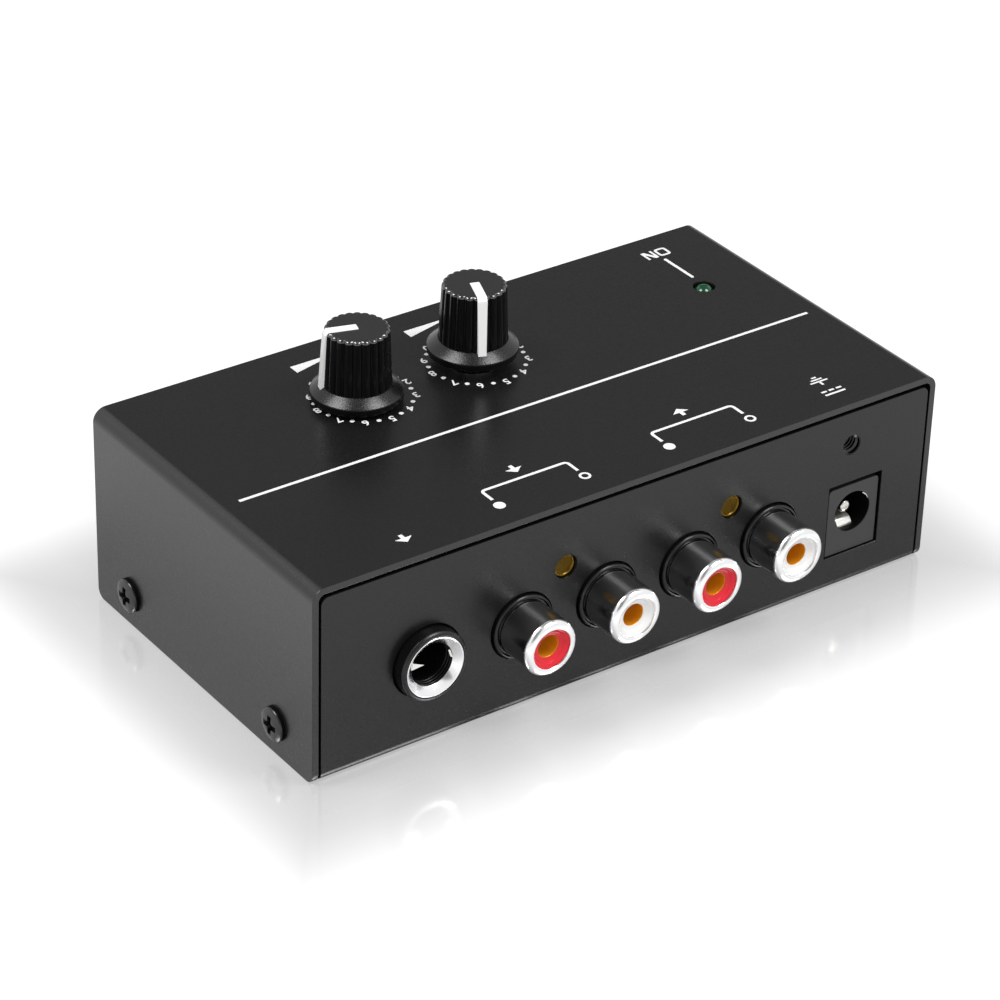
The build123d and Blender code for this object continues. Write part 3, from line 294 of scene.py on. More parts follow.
# Metallic copy of the knob's black for its top edge: painted glints on the plastic.
KNOB_EDGE_PAINTED_GLINT = Finish("knob_edge_painted_glint", (0.11, 0.11, 0.11), 0.1, metallic=1.0, grain=1400.0, relief=0.002)
KNOB_TOP = Finish("knob_top", (0.012, 0.012, 0.012), 0.45, grain=5000.0, relief=0.008)
KNOB_SKIRT = Finish("knob_skirt", (0.004, 0.004, 0.004), 0.28, patches=0.3, grain=5200.0, relief=0.014,
                    specular=0.36)
# Darker, duller black for the skirt's vertical rim: painted shade under the skirt.
KNOB_RIM_PAINTED_SHADE = Finish("knob_rim_painted_shade", (0.002, 0.002, 0.002), 0.35, grain=2600.0, relief=0.002, specular=0.12)
POINTER_WHITE = Finish("pointer_white", (0.88, 0.88, 0.87), 0.35, drift=0.02, relief=0.002)
INK_WHITE = Finish("ink_white", (0.80, 0.80, 0.80), 0.55, drift=0.05, blotch=700.0, relief=0.002)
CHIP_EPOXY = Finish("chip_epoxy", (0.02, 0.02, 0.02), 0.55)
CAPACITOR_SLEEVE = Finish("capacitor_sleeve", (0.02, 0.03, 0.09), 0.35)
FILM_EPOXY = Finish("film_epoxy", (0.30, 0.045, 0.02), 0.4)
RESISTOR_LACQUER = Finish("resistor_lacquer", (0.16, 0.30, 0.42), 0.4)


# ---- Shapes -------------------------------------------------------------------------------
def rounded(shape: Shape, corners: Sequence[Corner], verts: Sequence[bmesh.types.BMVert],
            segments: int) -> None:
    """Rounds the corners of a wire or a flat face.

    Args:
        shape: Shape that holds the vertices.
        corners: Corners of the outline, in the vertices' order.
        verts: Vertices of the outline.
        segments: Steps of each round.
    """
    for size in sorted({corner[2] for corner in corners if len(corner) > 2} - {0.0}):
        chosen = [vert for corner, vert in zip(corners, verts) if corner[2:] == (size,)]
        bmesh.ops.bevel(shape, geom=chosen, offset=size, offset_type="OFFSET", segments=segments,
                        profile=0.5, affect="VERTICES", clamp_overlap=False, material=-1)


def spun(corners: Sequence[Corner], steps: int, closed: bool = True, segments: int = 4) -> Shape:
    """Turns an outline in radius and height about Z.

    Args:
        corners: Corners of the outline.
        steps: Steps of the full turn.
        closed: Whether the outline's last corner joins its first.
        segments: Steps of each rounded corner.

    Returns:
        The turned shape.
    """
    shape = bmesh.new()
    verts = [shape.verts.new((corner[0], 0.0, corner[1])) for corner in corners]
    pairs = list(zip(verts, verts[1:]))
    if closed:
        pairs.append((verts[-1], verts[0]))
    for pair in pairs:
        shape.edges.new(pair)
    rounded(shape, corners, verts, segments)
    bmesh.ops.spin(shape, geom=shape.verts[:] + shape.edges[:], cent=(0, 0, 0), axis=(0, 0, 1),
                   angle=math.tau, steps=steps, use_merge=True, use_duplicate=False)
    bmesh.ops.remove_doubles(shape, verts=shape.verts, dist=TURNED_GAP)
    bmesh.ops.recalc_face_normals(shape, faces=shape.faces)
    return shape


def plate(corners: Sequence[Corner], thickness: float, segments: int = 4) -> Shape:
    """Extrudes an outline in X and Y upwards from z = 0.

    Args:
        corners: Corners of the outline.
        thickness: Height of the plate.
        segments: Steps of each rounded corner.

    Returns:
        The plate.
    """
    shape = bmesh.new()
    verts = [shape.verts.new((corner[0], corner[1], 0.0)) for corner in corners]
    shape.faces.new(verts)
    rounded(shape, corners, verts, segments)
    return raised(shape, (0, 0, thickness))


def raised(shape: Shape, reach: Triple) -> Shape:
    """Extrudes a flat shape by a vector."""
    added = bmesh.ops.extrude_face_region(shape, geom=shape.faces[:])["geom"]
    bmesh.ops.translate(shape, vec=reach,
                        verts=[item for item in added if isinstance(item, bmesh.types.BMVert)])
    bmesh.ops.recalc_face_normals(shape, faces=shape.faces)
    return shape


def rod(radius: float, low: float, high: float, segments: int, top_radius: float | None = None) -> Shape:
    """Upright cylinder, or a cone where the top has a radius of its own."""
    shape = bmesh.new()
    bmesh.ops.create_cone(shape, cap_ends=True, segments=segments,
                          radius1=radius, radius2=top_radius or radius,
                          depth=high - low, matrix=Matrix.Translation((0, 0, (low + high) / 2)))
    return shape


def rectangle(width: float, depth: float, rounding: float = 0.0) -> list[Corner]:
    """Corners of a rectangle round the origin."""
    half, reach = width / 2, depth / 2
    return [(u * half, v * reach, rounding) for u, v in ((-1, -1), (1, -1), (1, 1), (-1, 1))]


def eased(shape: Shape, width: float, segments: int = 2, angle: float = 40.0) -> Shape:
    """Bevels every edge that is sharper than an angle."""
    edges = [edge for edge in shape.edges
             if edge.is_manifold and edge.calc_face_angle(0.0) > math.radians(angle)]
    bmesh.ops.bevel(shape, geom=edges, offset=width, offset_type="OFFSET", segments=segments, profile=0.5,
                    affect="EDGES", clamp_overlap=False, material=-1)
    return shape


def moved(shape: Shape, matrix: Matrix) -> Shape:
    """Applies a matrix to a whole shape."""
    bmesh.ops.transform(shape, matrix=matrix, verts=shape.verts)
    return shape


def shifted(shape: Shape, x: float = 0.0, y: float = 0.0, z: float = 0.0) -> Shape:
    """Moves a whole shape without turning it."""
    return moved(shape, Matrix.Translation((x, y, z)))


def placed(shape: Shape, side: Side, x: float, y: float, z: float) -> Shape:
    """Turns a shape that points up to a side of the case and puts its origin at a place."""
    return moved(shape, Matrix.Translation((x, y, z)) @ side.turn())


def scaled(shape: Shape, factor: float) -> Shape:
    """Scales a whole shape."""
    bmesh.ops.scale(shape, vec=(factor, factor, factor), verts=shape.verts)
    return shape


def together(shapes: Iterable[Shape]) -> Shape:
    """Gathers several shapes into one and frees them."""
    whole = bmesh.new()
    for shape in shapes:
        loose = bpy.data.meshes.new("loose")
        shape.to_mesh(loose)
        shape.free()
        whole.from_mesh(loose)
        bpy.data.meshes.remove(loose)
    return whole


def painted(shape: Shape, index: int, belongs: Callable[[Vector], bool]) -> Shape:
    """Gives a material index to the faces whose centres pass a test."""
    for face in shape.faces:
        if belongs(face.calc_center_median()):
            face.material_index = index
    return shape


def from_axis(at: Vector) -> float:
    """Distance of a place to the Z axis."""
    return math.hypot(at.x, at.y)


def held(shape: Shape, name: str) -> Mesh:
    """Puts a shape into an object of the scene and frees it."""
    mesh = bpy.data.meshes.new(name)
    shape.to_mesh(mesh)
    shape.free()
    holder = bpy.data.objects.new(name, mesh)
    bpy.context.scene.collection.objects.link(holder)
    return holder


def evaluated(source: Mesh) -> Shape:
    """Shape of an object as its curve or its modifiers make it."""
    bpy.context.view_layer.update()
    mesh = bpy.data.meshes.new_from_object(source.evaluated_get(bpy.context.evaluated_depsgraph_get()))
    shape = bmesh.new()
    shape.from_mesh(mesh)
    bpy.data.meshes.remove(mesh)
    return shape


def carved(shape: Shape, cutter: Shape) -> Shape:
    """Cuts one shape out of another; both are freed."""
    blank, knife = held(shape, "blank"), held(cutter, "cutter")
    cut = blank.modifiers.new("cut", "BOOLEAN")
    cut.operation = "DIFFERENCE"
    cut.solver = "EXACT"
    cut.object = knife
    whole = evaluated(blank)
    for used in (blank, knife):
        bpy.data.meshes.remove(used.data)
    return whole


def made(shape: Shape, name: str, finishes: Sequence[Finish], nodes: Sequence[str] = (),
         body: Body = Body.CASE, scale: float = METRES) -> None:
    """Makes a piece of the object.

    Args:
        shape: The shape, which is freed.
        name: Name of the piece.
        finishes: Finishes in the order of the shape's material indices.
        nodes: CAD nodes that the piece stands for.
        body: Body that the piece rides on.
        scale: Metres in a unit of the shape.
    """
    piece = held(scaled(shape, scale), name)
    for finish in finishes:
        piece.data.materials.append(finish.material())
    piece.data.shade_smooth()
    piece.data.set_sharp_from_angle(angle=math.radians(SHARP_ANGLE))
    piece.modifiers.new("weighted_normals", "WEIGHTED_NORMAL").keep_sharp = True
    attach(piece, body.value)
    if nodes:
        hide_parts(*nodes)
    LOG.info("%s: %d faces on %s", name, len(piece.data.polygons), body.value)


@dataclass
class Frame:
    """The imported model: its CAD objects by node name."""

    nodes: dict[str, Mesh]

    def finish(self, finishes: dict[str, Finish]) -> None:
        """Gives CAD nodes their finishes."""
        for node, finish in finishes.items():
            materials = self.nodes[node].data.materials
            materials.clear()
            materials.append(finish.material())
            LOG.info("%s: %s", node, finish.name)

    def softened(self, node: str, width: float) -> Shape:
        """Copy of a CAD node, in metres, with its loose triangles merged and its edges eased.

        Args:
            node: Name of the node.
            width: Width of the bevel in millimetres.

        Returns:
            The copy.
        """
        shape = bmesh.new()
        shape.from_mesh(self.nodes[node].data)
        bmesh.ops.remove_doubles(shape, verts=shape.verts, dist=CAD_GAP)
        bmesh.ops.dissolve_limit(shape, angle_limit=math.radians(FLAT_ANGLE), verts=shape.verts,
                                 edges=shape.edges, use_dissolve_boundaries=False)
        return eased(shape, width * METRES)

    def soften(self, node: str, name: str, slot: str, finish: Finish, width: float) -> None:
        """Makes a piece out of a CAD node's softened copy, in its place."""
        made(self.softened(node, width), name, [finish], [node], scale=1.0)


# ---- Case ---------------------------------------------------------------------------------
@dataclass
class Case:
    """Bent cover, tray and the four screws that hold them together."""

    frame: Frame
    edge: float = 0.08
    screw_spacing: float = 37.2
    screw_height: float = 4.8
    head_radius: float = 2.5
    head_height: float = 1.0
    rim_height: float = 0.65
    rim_rounding: float = 0.2
    crown_radius: float = 1.6
    crown_rounding: float = 0.6
    shank_radius: float = 1.5
    shank_length: float = 5.0
    thread_pitch: float = 0.5
    thread_depth: float = 0.25
    recess_span: float = 3.3
    recess_width: float = 0.95
    recess_depth: float = 0.85
    recess_taper: float = 0.6
    recess_middle: float = 0.85

    def build(self) -> None:
        """Builds the case's pieces and dresses the fixings inside it."""
        # One paint in two copies: painted sheen on the cover, painted shade on the tray.
        self.frame.soften("top_cover", "top_cover_sheet", "case_coat", COVER_COAT_PAINTED_SHEEN, self.edge)
        self.frame.soften("base_tray", "base_tray_sheet", "case_coat", TRAY_COAT_PAINTED_SHADE, self.edge)
        rows = -self.screw_spacing / 2, self.screw_spacing / 2
        made(together(self.screw(side, y) for side in (Side.RIGHT, Side.LEFT) for y in rows),
             "cover_screw_set", [BLACK_SCREW, SCREW_WALL_PAINTED_SHADE], ["cover_screws"])
        self.frame.finish({"board_standoffs": STANDOFF_BRASS, "board_screws": ZINC_SCREW})

    def screw(self, side: Side, y: float) -> Shape:
        """Pan-head screw in one side of the cover."""
        root = self.shank_radius - self.thread_depth
        outline: list[Corner] = [(0, -self.shank_length)]
        for turn in range(int(self.shank_length / self.thread_pitch)):
            level = -self.shank_length + turn * self.thread_pitch
            outline += [(root, level), (self.shank_radius, level + self.thread_pitch / 2)]
        outline += [(root, 0), (self.head_radius, 0, 0.05),
                    (self.head_radius, self.rim_height, self.rim_rounding),
                    (self.crown_radius, self.head_height, self.crown_rounding), (0, self.head_height)]
        wall = self.rim_height - self.rim_rounding
        # The head's side wall takes the darker, duller finish: painted shade beside the head.
        head = painted(spun(outline, 48, closed=False, segments=6), 1,
                       lambda at: 0 < at.z < wall and from_axis(at) > self.crown_radius)
        for cutter in self.recess():
            head = carved(head, cutter)
        reach = CASE_HALF_WIDTH if side is Side.RIGHT else -CASE_HALF_WIDTH
        return placed(head, side, reach, y, self.screw_height)

    def recess(self) -> list[Shape]:
        """Cutters of the cross recess: two tapered wedges and the cone between them."""
        cutters = []
        bottom = self.head_height - self.recess_depth
        for turn in (0.0, 90.0):
            wedge = plate(rectangle(self.recess_span, self.recess_width), self.recess_depth + 0.3)
            low = [vert for vert in wedge.verts if vert.co.z < self.recess_depth / 2]
            bmesh.ops.scale(wedge, vec=(self.recess_taper, self.recess_taper, 1.0), verts=low)
            moved(wedge, Matrix.Rotation(math.radians(turn), 4, "Z"))
            cutters.append(shifted(wedge, z=bottom))
        cone = rod(self.recess_middle / 3, bottom - 0.1, self.head_height + 0.2, 24, self.recess_middle)
        return [*cutters, cone]


# ---- Legends ------------------------------------------------------------------------------
@dataclass
class Legends:
    """White print on the cover: dials, rule, brackets and plain symbols."""

    proud: float = 0.015
    sunk: float = 0.01
    digit_height: float = 1.42
    number_radius: float = 7.38
    dot_radius: float = 7.05
    dot_size: float = 0.34
    degrees_per_number: float = 30.0
    middle_number: int = 5
    last_number: int = 10
    line: float = 0.46
    bracket_width: float = 14.4
    bracket_top: float = 21.5
    bracket_foot: float = 18.65
    bracket_round: float = 0.8
    mark_height: float = 1.9
    channel_height: float = 23.1
    channel_size: float = 0.85
    figure_steps: int = 3
    figure_weight: float = 0.018
    dot_steps: int = 20
    ring_steps: int = 28
    dial_places: dict[str, float] = field(default_factory=lambda: {"level": 0.0, "volume": 19.05})

    def build(self) -> None:
        """Builds every printed piece."""
        for name, x in self.dial_places.items():
            self.keep(self.dial(x), f"{name}_dial_print")
            self.keep([self.wedge(x)], f"{name}_wedge_print")
        self.keep([self.bar(0.0, 3.7, 96.0, 0.5)], "long_rule_print")
        self.keep([self.bar(-40.8, -17.15, 0.5, 6.9, 0.2)], "lamp_line_print")
        self.keep(self.lamp_word(), "lamp_word_print")
        for name, x, outwards in (("output", 12.95, True), ("input", -15.15, False)):
            self.keep([self.bracket(x)], f"{name}_bracket_print")
            self.keep([self.arrow(x, 16.5, outwards)], f"{name}_arrow_print")
            self.keep(self.channel_marks(x), f"{name}_channel_print")
        self.keep([self.arrow(35.1, 23.1, True)], "phone_arrow_print")
        self.keep(self.supply_mark(-36.6, 23.4), "supply_mark_print")
        self.keep(self.earth_mark(-36.6, 20.3), "earth_mark_print")

    def keep(self, shapes: Iterable[Shape], name: str) -> None:
        """Puts flat shapes on the cover and makes them one piece."""
        made(shifted(together(shapes), z=CASE_TOP - self.sunk), name, [INK_WHITE])

    def ink(self, corners: Sequence[Corner]) -> Shape:
        """Area of ink, part of its height sunk in the cover."""
        return plate(corners, self.proud + self.sunk)

    def bar(self, x: float, y: float, width: float, depth: float, rounding: float = 0.0) -> Shape:
        """Rectangle of ink round a place."""
        return shifted(self.ink(rectangle(width, depth, rounding)), x, y)

    def dot(self, x: float, y: float, radius: float) -> Shape:
        """Round spot of ink."""
        return shifted(rod(radius, 0, self.proud + self.sunk, self.dot_steps), x, y)

    def ring(self, x: float, y: float, radius: float, width: float) -> Shape:
        """Ring of ink."""
        inner, high = radius - width, self.proud + self.sunk
        outline = [(inner, 0), (radius, 0), (radius, high), (inner, high)]
        return shifted(spun(outline, self.ring_steps), x, y)

    def figures(self, number: int, x: float, y: float) -> Shape:
        """A dial's number, with its middle at a place."""
        curve = bpy.data.curves.new("figures", "FONT")
        curve.body = str(number)
        curve.resolution_u = self.figure_steps
        curve.extrude = 0.5
        curve.offset = self.figure_weight
        source = bpy.data.objects.new("figures", curve)
        bpy.context.scene.collection.objects.link(source)
        shape = evaluated(source)
        bpy.data.objects.remove(source)
        bmesh.ops.remove_doubles(shape, verts=shape.verts, dist=FIGURE_GAP)
        low = Vector(min(vert.co[axis] for vert in shape.verts) for axis in range(3))
        high = Vector(max(vert.co[axis] for vert in shape.verts) for axis in range(3))
        size, thin = self.digit_height / (high.y - low.y), (self.proud + self.sunk) / (high.z - low.z)
        shifted(shape, -(low.x + high.x) / 2, -(low.y + high.y) / 2, -low.z)
        bmesh.ops.scale(shape, vec=(size, size, thin), verts=shape.verts)
        return shifted(shape, x, y)

    def dial(self, x: float) -> list[Shape]:
        """Numbers round a knob with a dot between each two."""
        shapes = []
        for half in range(2 * self.last_number + 1):
            angle = math.radians((half / 2 - self.middle_number) * self.degrees_per_number)
            radius = self.dot_radius if half % 2 else self.number_radius
            across, along = x + radius * math.sin(angle), KNOB_LINE + radius * math.cos(angle)
            shapes.append(self.dot(across, along, self.dot_size) if half % 2
                          else self.figures(half // 2, across, along))
        return shapes

    def wedge(self, x: float) -> Shape:
        """Slope that rises to the right: the plain sign for more."""
        foot, rise, reach = -22.9, 1.9, 4.0
        return self.ink([(x - reach, foot), (x + reach, foot), (x + reach, foot + rise)])

    def bracket(self, x: float) -> Shape:
        """Bracket that joins a pair of sockets."""
        half, top, foot = self.bracket_width / 2, self.bracket_top, self.bracket_foot
        inner, floor = half - self.line, foot + self.line
        bend, inner_bend = self.bracket_round, self.bracket_round - self.line
        return self.ink([(x - half, top), (x - half, foot, bend), (x + half, foot, bend), (x + half, top),
                         (x + inner, top), (x + inner, floor, inner_bend), (x - inner, floor, inner_bend),
                         (x - inner, top)])

    def arrow(self, x: float, y: float, outwards: bool) -> Shape:
        """Arrow towards the sockets or away from them."""
        way = 1.0 if outwards else -1.0
        tip, tail, neck = y + way * self.mark_height / 2, y - way * self.mark_height / 2, y - way * 0.1
        head, stem = 1.3, 0.3
        return self.ink([(x, tip), (x - head, neck), (x - stem, neck), (x - stem, tail), (x + stem, tail),
                         (x + stem, neck), (x + head, neck)])

    def channel_marks(self, x: float) -> list[Shape]:
        """Ring and spot that tell a pair's two channels apart."""
        half = self.bracket_width / 2 - self.line / 2
        return [self.ring(x - half, self.channel_height, self.channel_size, 0.36),
                self.dot(x + half, self.channel_height, self.channel_size)]

    def supply_mark(self, x: float, y: float) -> list[Shape]:
        """Direct-current sign: a line over three dashes."""
        dashes = [self.bar(x + step * 1.3, y - 0.45, 0.9, 0.36) for step in (-1, 0, 1)]
        return [self.bar(x, y + 0.45, 3.5, 0.36), *dashes]

    def earth_mark(self, x: float, y: float) -> list[Shape]:
        """Earth sign: a stem over three lines that grow shorter."""
        lines = [self.bar(x, y - 0.05 - step * 0.6, width, 0.3) for step, width in enumerate((3.0, 1.9, 0.8))]
        return [self.bar(x, y + 0.5, 0.34, 0.9), *lines]

    def lamp_word(self) -> list[Shape]:
        """The word ON in squared letters, read from the front."""
        left, foot, height, line = -42.9, -23.7, 2.2, 0.38
        width, gap, slant = 2.0, 0.35, 0.62
        hole = plate(rectangle(width - 2 * line, height - 2 * line, 0.25), 3 * (self.proud + self.sunk))
        ring = carved(self.ink(rectangle(width, height, 0.5)), shifted(hole, z=-self.proud - self.sunk))
        start, top = left + width + gap, foot + height
        end = start + width - 0.1
        letter = self.ink([(start, foot), (start + line, foot), (start + line, top - slant),
                           (end - slant, foot), (end, foot), (end, top), (end - line, top),
                           (end - line, foot + slant), (start + slant, top), (start, top)])
        return [shifted(ring, left + width / 2, foot + height / 2), letter]


# ---- Sockets ------------------------------------------------------------------------------
@dataclass
class PhoneJack:
    """6.35 mm jack: moulded body, turned ferrule and two contact springs."""

    frame: Frame
    x: float = 34.1
    mouth: float = 29.5
    length: float = 2.4
    head_length: float = 1.4
    head_radius: float = 4.5
    tube_radius: float = 4.1
    bore_radius: float = 3.2
    funnel_depth: float = 0.85
    lip: float = 0.08
    steps: tuple[float, ...] = (0.85, 1.35, 1.85)
    step_height: float = 0.05
    tongue_depth: float = 0.85
    tongue_thickness: float = 0.12
    tongue_lean: float = 15.0
    body_edge: float = 0.16
    spring_edge: float = 0.05

    def build(self) -> None:
        """Builds the jack's pieces."""
        self.frame.soften("phone_jack_body", "phone_jack_moulding", "jack_plastic", SOCKET_PLASTIC,
                          self.body_edge)
        made(placed(self.ferrule(), Side.REAR, self.x, self.mouth - self.length, SOCKET_AXIS),
             "phone_jack_bush", [CHROME_PAINTED_HIGHLIGHT, SOCKET_PLASTIC], ["phone_jack_ferrule"])
        self.frame.soften("phone_jack_springs", "phone_jack_leaves", "spring_metal", SPRING_METAL,
                          self.spring_edge)
        made(placed(self.tongues(), Side.REAR, self.x, self.mouth - self.tongue_depth, SOCKET_AXIS),
             "phone_jack_tongues", [SPRING_METAL])

    def ferrule(self) -> Shape:
        """Turned bush: a funnel mouth in the lighter chrome, a painted highlight, before a bore with fine
        steps that takes the black socket plastic as painted shade.
        """
        front, shoulder, bore = self.length, self.length - self.head_length, self.bore_radius
        tube, head = self.tube_radius, self.head_radius
        outline = [(bore, 0), (tube, 0), (tube, shoulder), (head, shoulder), (head, front, self.lip),
                   (head - 2 * self.lip, front, 0.08), (bore, front - self.funnel_depth, 0.05)]
        for depth in self.steps:
            level = front - depth - 0.1
            outline += [(bore + self.step_height, level), (bore + self.step_height, level - 0.25),
                        (bore, level - 0.3)]
        bore_end = front - self.funnel_depth - 0.05
        # The bore's faces take the black socket plastic: painted shade inside the bush.
        return painted(spun(outline, 96, segments=3), 1,
                       lambda at: at.z < bore_end and from_axis(at) < bore + 0.1)

    def tongues(self) -> Shape:
        """Tips of the sleeve springs, which stand a little into the mouth from both sides."""
        long_tip = [(3.3, -0.2), (1.24, -0.36, 0.1), (2.9, -1.05)]
        short_tip = [(-3.2, 0.0), (-2.85, -0.22), (-2.65, -1.2, 0.1), (-2.97, -1.2)]
        tips = together(plate(outline, self.tongue_thickness) for outline in (long_tip, short_tip))
        return moved(tips, Matrix.Rotation(math.radians(self.tongue_lean), 4, "X"))


@dataclass
class SocketPair:
    """Two phono sockets in one housing, with the brass plate that they share."""

    frame: Frame
    name: str
    middle: float
    pitch: float = 14.0
    face: float = 27.5
    shell_radius: float = 4.15
    root_radius: float = 3.95
    wall: float = 0.45
    proud: float = 7.0
    behind: float = 8.5
    shoulder_proud: float = 0.6
    lip_radius: float = 2.95
    lip_thickness: float = 0.4
    roll: float = 0.9
    seat: float = 0.04
    pin_bore: float = 1.65
    contact_wall: float = 0.4
    contact_bottom: float = 0.4
    dish_depth: float = 0.58
    contact_inset: float = 0.1
    contact_length: float = 11.0
    groove_radius: float = 4.5
    groove_depth: float = 0.5
    flange_radius: float = 4.36
    flange_level: float = 0.14
    flange_thickness: float = 0.22
    eyelet_rise: float = 6.8
    eyelet_radius: float = 1.72
    eyelet_depth: float = 0.45
    edge: float = 0.08

    def build(self) -> None:
        """Builds the pair's pieces."""
        jack = f"{self.name}_jack"
        right, left = self.axes()
        made(self.housing(), f"{jack}_moulding", [SOCKET_PLASTIC], [f"{jack}_housing"],
             scale=1.0)
        made(self.both(self.shell), f"{jack}_barrels",
             [CHROME, CHROME_PAINTED_HIGHLIGHT, FLANGE_PAINTED_SHADE], [f"{jack}_shells"])
        for colour, finish, channel, x in (("red", RED_INSULATOR, "right", right),
                                           ("white", WHITE_INSULATOR, "left", left)):
            made(self.facing(self.insulator(), x), f"{jack}_core_{colour}", [finish],
                 [f"{jack}_insulator_{channel}"])
        made(self.both(self.contact), f"{jack}_sleeves", [CONTACT_GOLD])
        self.frame.finish({f"{jack}_contacts": CONTACT_GOLD})
        self.frame.soften(f"{jack}_plate", f"{jack}_strap", "plate_brass", PLATE_BRASS, self.edge)
        made(placed(self.eyelet(), Side.REAR, self.middle, self.face, SOCKET_AXIS + self.eyelet_rise),
             f"{jack}_eyelet", [PLATE_BRASS])

    def axes(self) -> tuple[float, float]:
        """X of the right and the left channel's socket."""
        return self.middle + self.pitch / 2, self.middle - self.pitch / 2

    def facing(self, shape: Shape, x: float) -> Shape:
        """Points a turned part out of the rear panel."""
        return placed(shape, Side.REAR, x, self.face, SOCKET_AXIS)

    def both(self, turned: Callable[[], Shape]) -> Shape:
        """The same turned part in both sockets."""
        return together(self.facing(turned(), x) for x in self.axes())

    def housing(self) -> Shape:
        """Eased copy of the housing, in metres, with a groove in each shoulder round the barrel."""
        shape = self.frame.softened(f"{self.name}_jack_housing", self.edge)
        inner, outer = self.root_radius - 0.2, self.groove_radius
        low, high = self.shoulder_proud - self.groove_depth, self.shoulder_proud + 1.0
        for x in self.axes():
            groove = spun([(inner, low), (outer, low), (outer, high), (inner, high)], 96)
            shape = carved(shape, scaled(self.facing(groove, x), METRES))
        return shape

    def eyelet(self) -> Shape:
        """Pressed cup of the plate that fills its round hole in the panel."""
        radius, rim, back = self.eyelet_radius, -self.eyelet_depth, -1.1
        return spun([(0, back), (radius, back), (radius, rim, 0.12), (radius - 0.28, rim, 0.1),
                     (radius - 0.36, rim - 0.14), (0, rim - 0.2)], 56, closed=False)

    def shell(self) -> Shape:
        """Drawn barrel with a flange at its foot and its front edge rolled inwards."""
        inner, root, outer = self.shell_radius - self.wall, self.root_radius, self.shell_radius
        seat = self.proud - self.lip_thickness
        foot, top = self.flange_level, self.flange_level + self.flange_thickness
        shell = spun([(root, -self.behind), (root, foot), (self.flange_radius, foot, 0.06),
                      (self.flange_radius, top, 0.1), (root, top), (root, self.shoulder_proud),
                      (outer, self.shoulder_proud, 0.08), (outer, self.proud, self.roll),
                      (self.lip_radius, self.proud, 0.22), (self.lip_radius, seat, 0.1), (inner, seat),
                      (inner, -self.behind)], 80, segments=8)
        # The rolled rim takes the lighter chrome: painted highlight on the barrel's own metal.
        painted(shell, 1, lambda at: at.z > self.proud - self.roll)
        # The flange at the barrel's foot takes the near-black chrome: painted shade.
        return painted(shell, 2, lambda at: at.z < top + 0.01 and from_axis(at) > root + 0.02)

    def insulator(self) -> Shape:
        """Moulded core with a dished face round the pin's hole."""
        outer = self.shell_radius - self.wall - self.seat
        face = self.proud - self.lip_thickness
        hole = self.pin_bore + self.seat
        sleeve = hole + self.contact_wall
        floor = face - self.dish_depth
        mouth = floor - self.contact_inset
        return spun([(sleeve, -self.behind), (outer, -self.behind), (outer, face),
                     (self.lip_radius, face, 0.04), (2.55, 6.42, 0.1), (2.25, 6.09, 0.18),
                     (hole, floor, 0.03), (hole, mouth), (sleeve, mouth)], 72)

    def contact(self) -> Shape:
        """Sleeve that a plug's pin enters, with a rounded mouth."""
        outer = self.pin_bore + self.contact_wall - 0.01
        mouth = self.proud - self.lip_thickness - self.dish_depth - self.contact_inset
        back = mouth - self.contact_length
        bottom = back + self.contact_bottom
        return spun([(0, back), (outer, back), (outer, mouth - 0.01, 0.1), (self.pin_bore, mouth - 0.01, 0.1),
                     (self.pin_bore, bottom), (0, bottom)], 48, closed=False)


